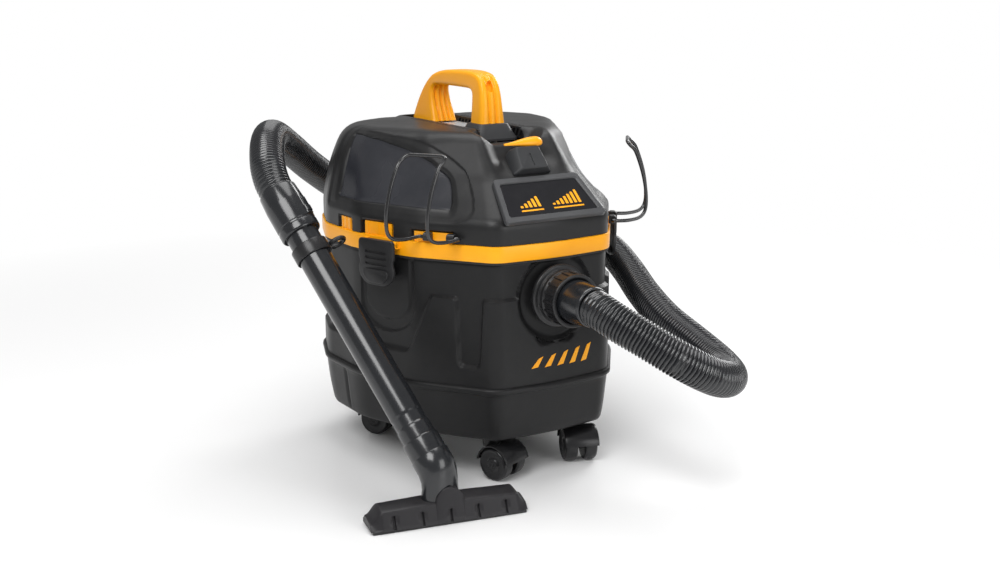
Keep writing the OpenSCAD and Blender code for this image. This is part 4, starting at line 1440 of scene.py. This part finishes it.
def makeVents():
    tree = makeVentTree()
    for s, label in ((1, "right"), (-1, "left")):
        # two rails along the channel's wall, the louvres standing between them
        points, faces = [], []
        for z0, z1 in ((388.2, 390.6), (399.4, 401.8)):
            shape, more = block((s * 29.6 - 1, -48, z0), (s * 29.6 + 1, 104, z1))
            faces.extend(tuple(i + len(points) for i in face) for face in more)
            points.extend(shape)
        data = bpy.data.meshes.new("rails")
        data.from_pydata([[c * mm for c in p] for p in points], [], faces)
        rails = bpy.data.objects.new("rails", data)
        bpy.context.scene.collection.objects.link(rails)
        mesh = runTree(rails, tree, {
            "Count": ventSizes["slots"] + 1, "Pitch": ventSizes["pitch"] * mm,
            "Start": (s * 29.6 * mm, (ventSizes["start"] - ventSizes["width"] / 2 - 2.4) * mm, 0.395),
            "Size": (0.0019, 0.0034, 0.0100), "Tilt": 0.42, "Material": paint["gripBlack"],
        })
        finishPiece("vent_" + label, mesh, "head", "gripBlack", ["vent_grille"] if s > 0 else [],
            sharp=30)
    # the slots that show on top of the shoulders beside the channel
    parts = []
    for s in (1, -1):
        for k in range(ventSizes["slots"]):
            y = ventSizes["start"] + 4 + ventSizes["pitch"] * k
            x = s * 37.0
            outline = roundedProfile([(x - 4.2, y - 1.1), (x + 4.2, y - 1.1), (x + 4.2, y + 1.1),
                (x - 4.2, y + 1.1)], 1.0)
            parts.append(extrude(outline, 400.0, 402.35))
    buildPiece("shoulder_louvres", parts, "head", "gripBlack", bevel=0.3)


def makePorts():
    profile = roundedProfile([(22, 0), (26, 0), (26, 25), (29, 25.3), (29, 27.5), (26, 28), (26, 33),
        (25.2, 34.2), (22, 34.2)], 0.7)
    buildPiece("blower_outlet", [lathe(profile, backward(0, 149, 334), 72)], "head", "gripBlack",
        ["blower_port"])
    profile = roundedProfile([(3.6, 0), (8, 0), (8, 17), (11, 17.3), (10.6, 19.5), (9, 24), (3.6, 24)], 0.8)
    buildPiece("cord_inlet", [lathe(profile, backward(78, 157, 312), 48)], "head", "gripBlack",
        ["cord_gland"])


# bails and their brackets
bailSizes = {"wire": 2.2, "lean": 0.5, "height": 292.0,
             "side": [(0, 0), (20, -1), (36, 2), (43, 12), (43, 32), (38, 56), (28, 82), (16, 95)]}


def makeBail(s, label):
    def wire(y):
        return [(4.5 + a * 0.89, y + a * bailSizes["lean"], bailSizes["height"] + b) for a,
            b in bailSizes["side"]]

    near, far = wire(-25), wire(25)
    a, b = np.array(near[-1]), np.array(far[-1])
    corners = []
    for end, before in ((a, np.array(near[-2])), (b, np.array(far[-2]))):
        # each top corner is bent over a mandrel, not folded
        inward = (a + b) / 2 - end
        corners.append([before * 0.35 + end * 0.65, end * 0.95 + before * 0.05 + inward * 0.12,
            end + inward * 0.45])
    z = bailSizes["height"]
    path = [(4.5, -11, z), (4.5, -15, z), (4.5, -19, z)] + near[:-1] + corners[0]
    path += corners[1][::-1] + far[-2::-1] + [(4.5, 19, z), (4.5, 15, z), (4.5, 11, z)]
    line = evenly(catmull(path, 10), 2.2)
    place = bailPlace(s)
    line = np.array([place @ Vector(p) for p in line])
    buildPiece("bail_wire_" + label, [tube(line, bailSizes["wire"], 16)], "bail_" + label, "wireCoat",
               ["bail_" + label], sharp=60)


def makeBrackets():
    parts = []
    for s in (1, -1):
        place = bailPlace(s)
        for y in (-19, 10):
            outline = roundedProfile([(-1.7, -5), (5.0, -5), (8.5, -2.6), (8.5, 2.6), (5.0, 5),
                (-1.7, 5)], 1.8)
            side = place @ at(0, y, bailSizes["height"], ("X", -90))
            hole = circle(2.5, 24, 4.5)
            parts.append((outline, hole, side))
    blanks = [extrude(outline, 0, 9, side) for outline, hole, side in parts]
    holes = [extrude(hole, -1, 10, side) for outline, hole, side in parts]
    data = cutWith("brackets", blanks, holes)
    finishPiece("bail_saddles", data, "head", "gripBlack", ["bail_brackets"], sharp=35,
        bevel=0.4)


# latches
def makeLatch(s, label):
    place = latchPlace(s)
    face = [(-27, 283.3), (27, 283.3), (27, 262), (25.2, 258), (25.2, 254), (27, 250), (27, 245), (24, 236),
            (14, 229), (-14, 229), (-24, 236), (-27, 245), (-27, 250), (-25.2, 254), (-25.2, 258),
            (-27, 262)]
    outline = roundedProfile(face, 5.0, 4)

    def slab(shape, low, high, crown=0.0):
        rings = []
        for share, x in ((1.0, low), (1.0, high - crown), (0.985, high - crown * 0.35), (0.955, high)):
            rings.append([place @ Vector((x, y * share, 256 + (z - 256) * share)) for y, z in shape])
        return loft(rings)

    parts = [slab(outline, 9.8, 13.5, 1.2)]
    pad = roundedProfile([(-19, 248), (19, 248), (19, 240), (12, 232), (-12, 232), (-19, 240)], 6.0, 5)
    parts.append(slab(pad, 12.0, 15.3, 1.4))
    knuckle = [(5 + 4.4 * math.cos(math.radians(a)), 278 + 4.4 * math.sin(math.radians(a)))
        for a in range(90, 271, 15)]
    knuckle += [(11, 273.6), (11, 282.4)]
    hook = roundedProfile([(6, 233), (11, 233), (11, 238), (6, 238)], 0.8)
    for shape, half in ((knuckle, 19), (hook, 14)):
        side = place @ at(0, -half, 0, ("X", -90))
        parts.append(extrude([(x, -z) for x, z in shape], 0, 2 * half, side))
    grooves = []
    for k in range(3):
        z = 254.5 + 7 * k
        slot = roundedProfile([(-16, z - 1.5), (16, z - 1.5), (16, z + 1.5), (-16, z + 1.5)], 1.4, 4)
        grooves.append(loft([[place @ Vector((x, y, h)) for y, h in slot] for x in (12.1, 14.5)]))
    pin = circle(2.55, 24, 5, -278)
    grooves.append(extrude(pin, -30, 30, place @ at(0, 0, 0, ("X", -90))))
    data = cutWith("latch", parts[:1] + parts[2:3], [grooves[-1]] + grooves[:-1])
    piece = finishPiece("latch_plate_" + label, data, "latch_" + label, "latchBlack", ["latch_" + label],
        sharp=34, bevel=0.35)
    buildPiece("latch_pad_" + label, [parts[1], parts[3]], "latch_" + label, "latchBlack",
        sharp=34)
    return piece


for s, label in ((1, "right"), (-1, "left")):
    makeBail(s, label)
    makeLatch(s, label)
makeBrackets()
makeVents()
makePorts()
print("bails, latches, vents and ports made")

# casters
casters = {"fl": (-60, -128, 200), "fr": (60, -128, 160), "rl": (-112, 92, 215), "rr": (112, 92, 150)}
casterSizes = {"wheel": 20.0, "trail": 15.0}


def makeCaster(label):
    x, y, angle = casters[label]
    place = at(x, y, 0, ("Z", angle))
    r, trail = casterSizes["wheel"], casterSizes["trail"]
    axle = place @ at(0, trail, r, ("Y", 90))
    # wheel: rolled tread, dished outer face with a hub
    parts = []
    for side in (1, -1):
        w = [(3.1, 4.5), (17.5, 4.5), (r - 0.6, 5.2), (r, 7.0), (r, 17.0), (r - 1.4, 19.4), (17.2, 20.0),
            (15.4, 19.0),
             (9.4, 18.0), (7.4, 19.2), (6.6, 20.0), (3.1, 20.0)]
        parts.append(lathe(roundedProfile([(a, side * b) for a, b in w], 0.9), axle, 64))
    buildPiece("caster_wheels_pair_" + label, parts, "wheels_" + label, "casterBlack",
        ["caster_wheels_" + label], sharp=40)
    # hood: a rounded shell over both wheels, with a web between them that carries the axle
    hood = []
    for k in range(33):
        a = math.radians(9 + 162 * k / 32)
        c, sn = math.cos(a), math.sin(a)
        section = [(21.4, -20.4), (23.1, -20.9), (24.0, -18.2), (24.3, 0), (24.0, 18.2), (23.1, 20.9),
            (21.4, 20.4),
                   (21.4, 4.0), (21.4, -4.0)]
        hood.append([place @ Vector((w, trail + c * q, r + sn * q)) for q, w in section])
    parts = [loft(hood)]
    web = []
    for w in (-3.6, 3.6):
        web.append([place @ Vector((w, trail + q * math.cos(math.radians(a)),
            r + q * math.sin(math.radians(a))))
                    for a, q in [(t, 22.0) for t in range(9, 172, 6)] + [(190, 8), (230, 6.5), (270, 6.0),
                        (310, 6.5), (350, 8)]])
    parts.append(loft(web))
    parts.append(lathe(roundedProfile([(0.02, -19.9), (3, -19.9), (3, 19.9), (0.02, 19.9)], 0.4), axle, 24))
    stem = roundedProfile([(0.02, 30), (10.5, 30), (12, 41), (12, 47), (11, 48), (5, 48.2), (5, 62.4),
        (4.2, 63), (0.02, 63)], 0.8)
    parts.append(lathe(stem, place, 48))
    buildPiece("caster_fork_" + label, parts, "swivel_" + label, "casterBlack", ["caster_stem_" + label],
        sharp=36)


for label in casters:
    makeCaster(label)
print("casters made")


# cartridge filter
filterSizes = {"pleats": 64, "foot": 176, "middle": 12, "bore": 51.5, "folds": (70.5, 66, 58, 66)}


def makeFilter():
    pleats, rings = filterSizes["pleats"], []
    top = ringSizes["low"] + 0.6
    for z in (filterSizes["foot"], top - 6):
        ring = []
        for k in range(pleats * 4):
            r = filterSizes["folds"][k % 4]
            a = 2 * math.pi * k / (pleats * 4)
            ring.append((r * math.cos(a), filterSizes["middle"] + r * math.sin(a), z))
        rings.append(ring)
    bore = circle(filterSizes["bore"], pleats * 4, y=filterSizes["middle"])
    inner = [[(x, y, z) for x, y in bore] for z in (top - 6, filterSizes["foot"])]
    buildPiece("pleated_filter", [loft(rings + inner, wrap=True)], "head", "filterPaper",
        ["cartridge_filter"], sharp=20)
    place = at(0, 12, 0)
    parts = [lathe(ringProfile(72, 50.3, z, z + 3.6, 0.8), place, 96) for z in (173, top - 6)]
    buildPiece("filter_caps", parts, "head", "sealRubber")


makeFilter()

# decals: plain strokes, no wording
def strokeOnTank(corners):
    # a quadrilateral in girth distance and height, laid on the wall as a thin film
    (u0, z0), (u1, z1), (u2, z2), (u3, z3) = corners
    across, up = 10, 6
    grid = []
    for j in range(up + 1):
        for i in range(across + 1):
            a, b = i / across, j / up
            low = ((1 - a) * u0 + a * u1, (1 - a) * z0 + a * z1)
            high = ((1 - a) * u3 + a * u2, (1 - a) * z3 + a * z2)
            grid.append(((1 - b) * low[0] + b * high[0], (1 - b) * low[1] + b * high[1]))
    return grid, across + 1, up + 1


def makeTankDecal():
    # a row of slanting strokes that grow towards the right
    parts = []
    for k in range(5):
        u = -34 + 17.5 * k
        tall = 13 + 2.0 * k
        base = 137.5 - 0.4 * k
        grid, columns, rows = strokeOnTank([(u, base), (u + 8.5, base + 1.0), (u + 15.5, base + tall),
            (u + 9.5, base + tall - 2.0)])
        parts.append(filmFrom(grid, columns, rows, lambda u, z, lift: tuple(wallPoint(u, z, lift))))
    buildPiece("tank_strokes", parts, "tank_body", "signalYellow")


makeTankDecal()
print("filter and strokes made")

# finishes on the nodes that keep their own shape
kept = {
    "inlet_deflector": "tankBlack", "caster_sockets": "steelPart", "latch_pins": "steelPart",
    "motor_plate": "gripBlack", "fan_housing": "plinthGrey", "impeller": "castAluminium",
        "motor_housing": "castAluminium",
    "stator": "copperCoil", "armature": "copperCoil", "bearings": "steelPart",
        "carbon_brushes": "carbonBlock",
    "tank_gasket": "sealRubber", "filter_cage": "gripBlack", "filter_retainer": "retainerRed",
        "float_ball": "floatWhite",
    "ring_screws": "steelPart",
}
for name, finish in kept.items():
    data = nodes[name].data
    data.materials.clear()
    data.materials.append(paint[finish])


# floor and light
stageSizes = {"fade": (0.55, 1.5), "fill": 0.36}


def makeStage():
    mesh = bmesh.new()
    bmesh.ops.create_grid(mesh, x_segments=2, y_segments=2, size=6)
    data = bpy.data.meshes.new("floor")
    mesh.to_mesh(data)
    mesh.free()
    floor = bpy.data.objects.new("floor", data)
    bpy.context.scene.collection.objects.link(floor)
    material = bpy.data.materials.new("paperSweep")
    material.use_nodes = True
    tree = material.node_tree
    shader = tree.nodes["Principled BSDF"]
    shader.inputs["Base Color"].default_value = (0.92, 0.92, 0.92, 1)
    shader.inputs["Roughness"].default_value = 0.3
    # far from the machine the paper runs out into the white of the studio
    length = tree.nodes.new("ShaderNodeVectorMath")
    length.operation = "LENGTH"
    tree.links.new(tree.nodes.new("ShaderNodeTexCoord").outputs["Object"], length.inputs[0])
    glow = tree.nodes.new("ShaderNodeEmission")
    blend = tree.nodes.new("ShaderNodeMixShader")
    tree.links.new(mapRange(tree, length.outputs["Value"], *stageSizes["fade"]), blend.inputs[0])
    tree.links.new(shader.outputs[0], blend.inputs[1])
    tree.links.new(glow.outputs[0], blend.inputs[2])
    tree.links.new(blend.outputs[0], tree.nodes["Material Output"].inputs["Surface"])
    data.materials.append(material)
    world = bpy.data.worlds.new("studio")
    bpy.context.scene.world = world
    world.use_nodes = True
    # the studio is seen white, and lights the machine more softly than it looks
    background = world.node_tree.nodes["Background"]
    background.inputs["Color"].default_value = (1, 1, 1, 1)
    seen = world.node_tree.nodes.new("ShaderNodeLightPath").outputs["Is Camera Ray"]
    fill = mapRange(world.node_tree, seen, 0.0, 1.0, stageSizes["fill"], 1.0)
    world.node_tree.links.new(fill, background.inputs["Strength"])
    lamps = {
        "keySoft": {"place": (-1.6, -1.2, 2.2), "aim": (0, 0, 0.25), "size": 1.4, "power": 42},
        "topSoft": {"place": (0.2, 0.3, 2.6), "aim": (0, 0, 0.2), "size": 1.8, "power": 36},
        "rimSoft": {"place": (2.0, 0.8, 1.3), "aim": (0, 0, 0.25), "size": 1.0, "power": 26},
        "fillFront": {"place": (0.6, -2.4, 0.9), "aim": (0, 0, 0.2), "size": 1.2, "power": 16},
    }
    for name, lamp in lamps.items():
        light = bpy.data.lights.new(name, "AREA")
        light.size = lamp["size"]
        light.energy = lamp["power"]
        thing = bpy.data.objects.new(name, light)
        thing.location = lamp["place"]
        thing.rotation_euler = (Vector(lamp["aim"]) - Vector(lamp["place"])).to_track_quat("-Z",
            "Y").to_euler()
        bpy.context.scene.collection.objects.link(thing)


makeStage()
print("stage lit")
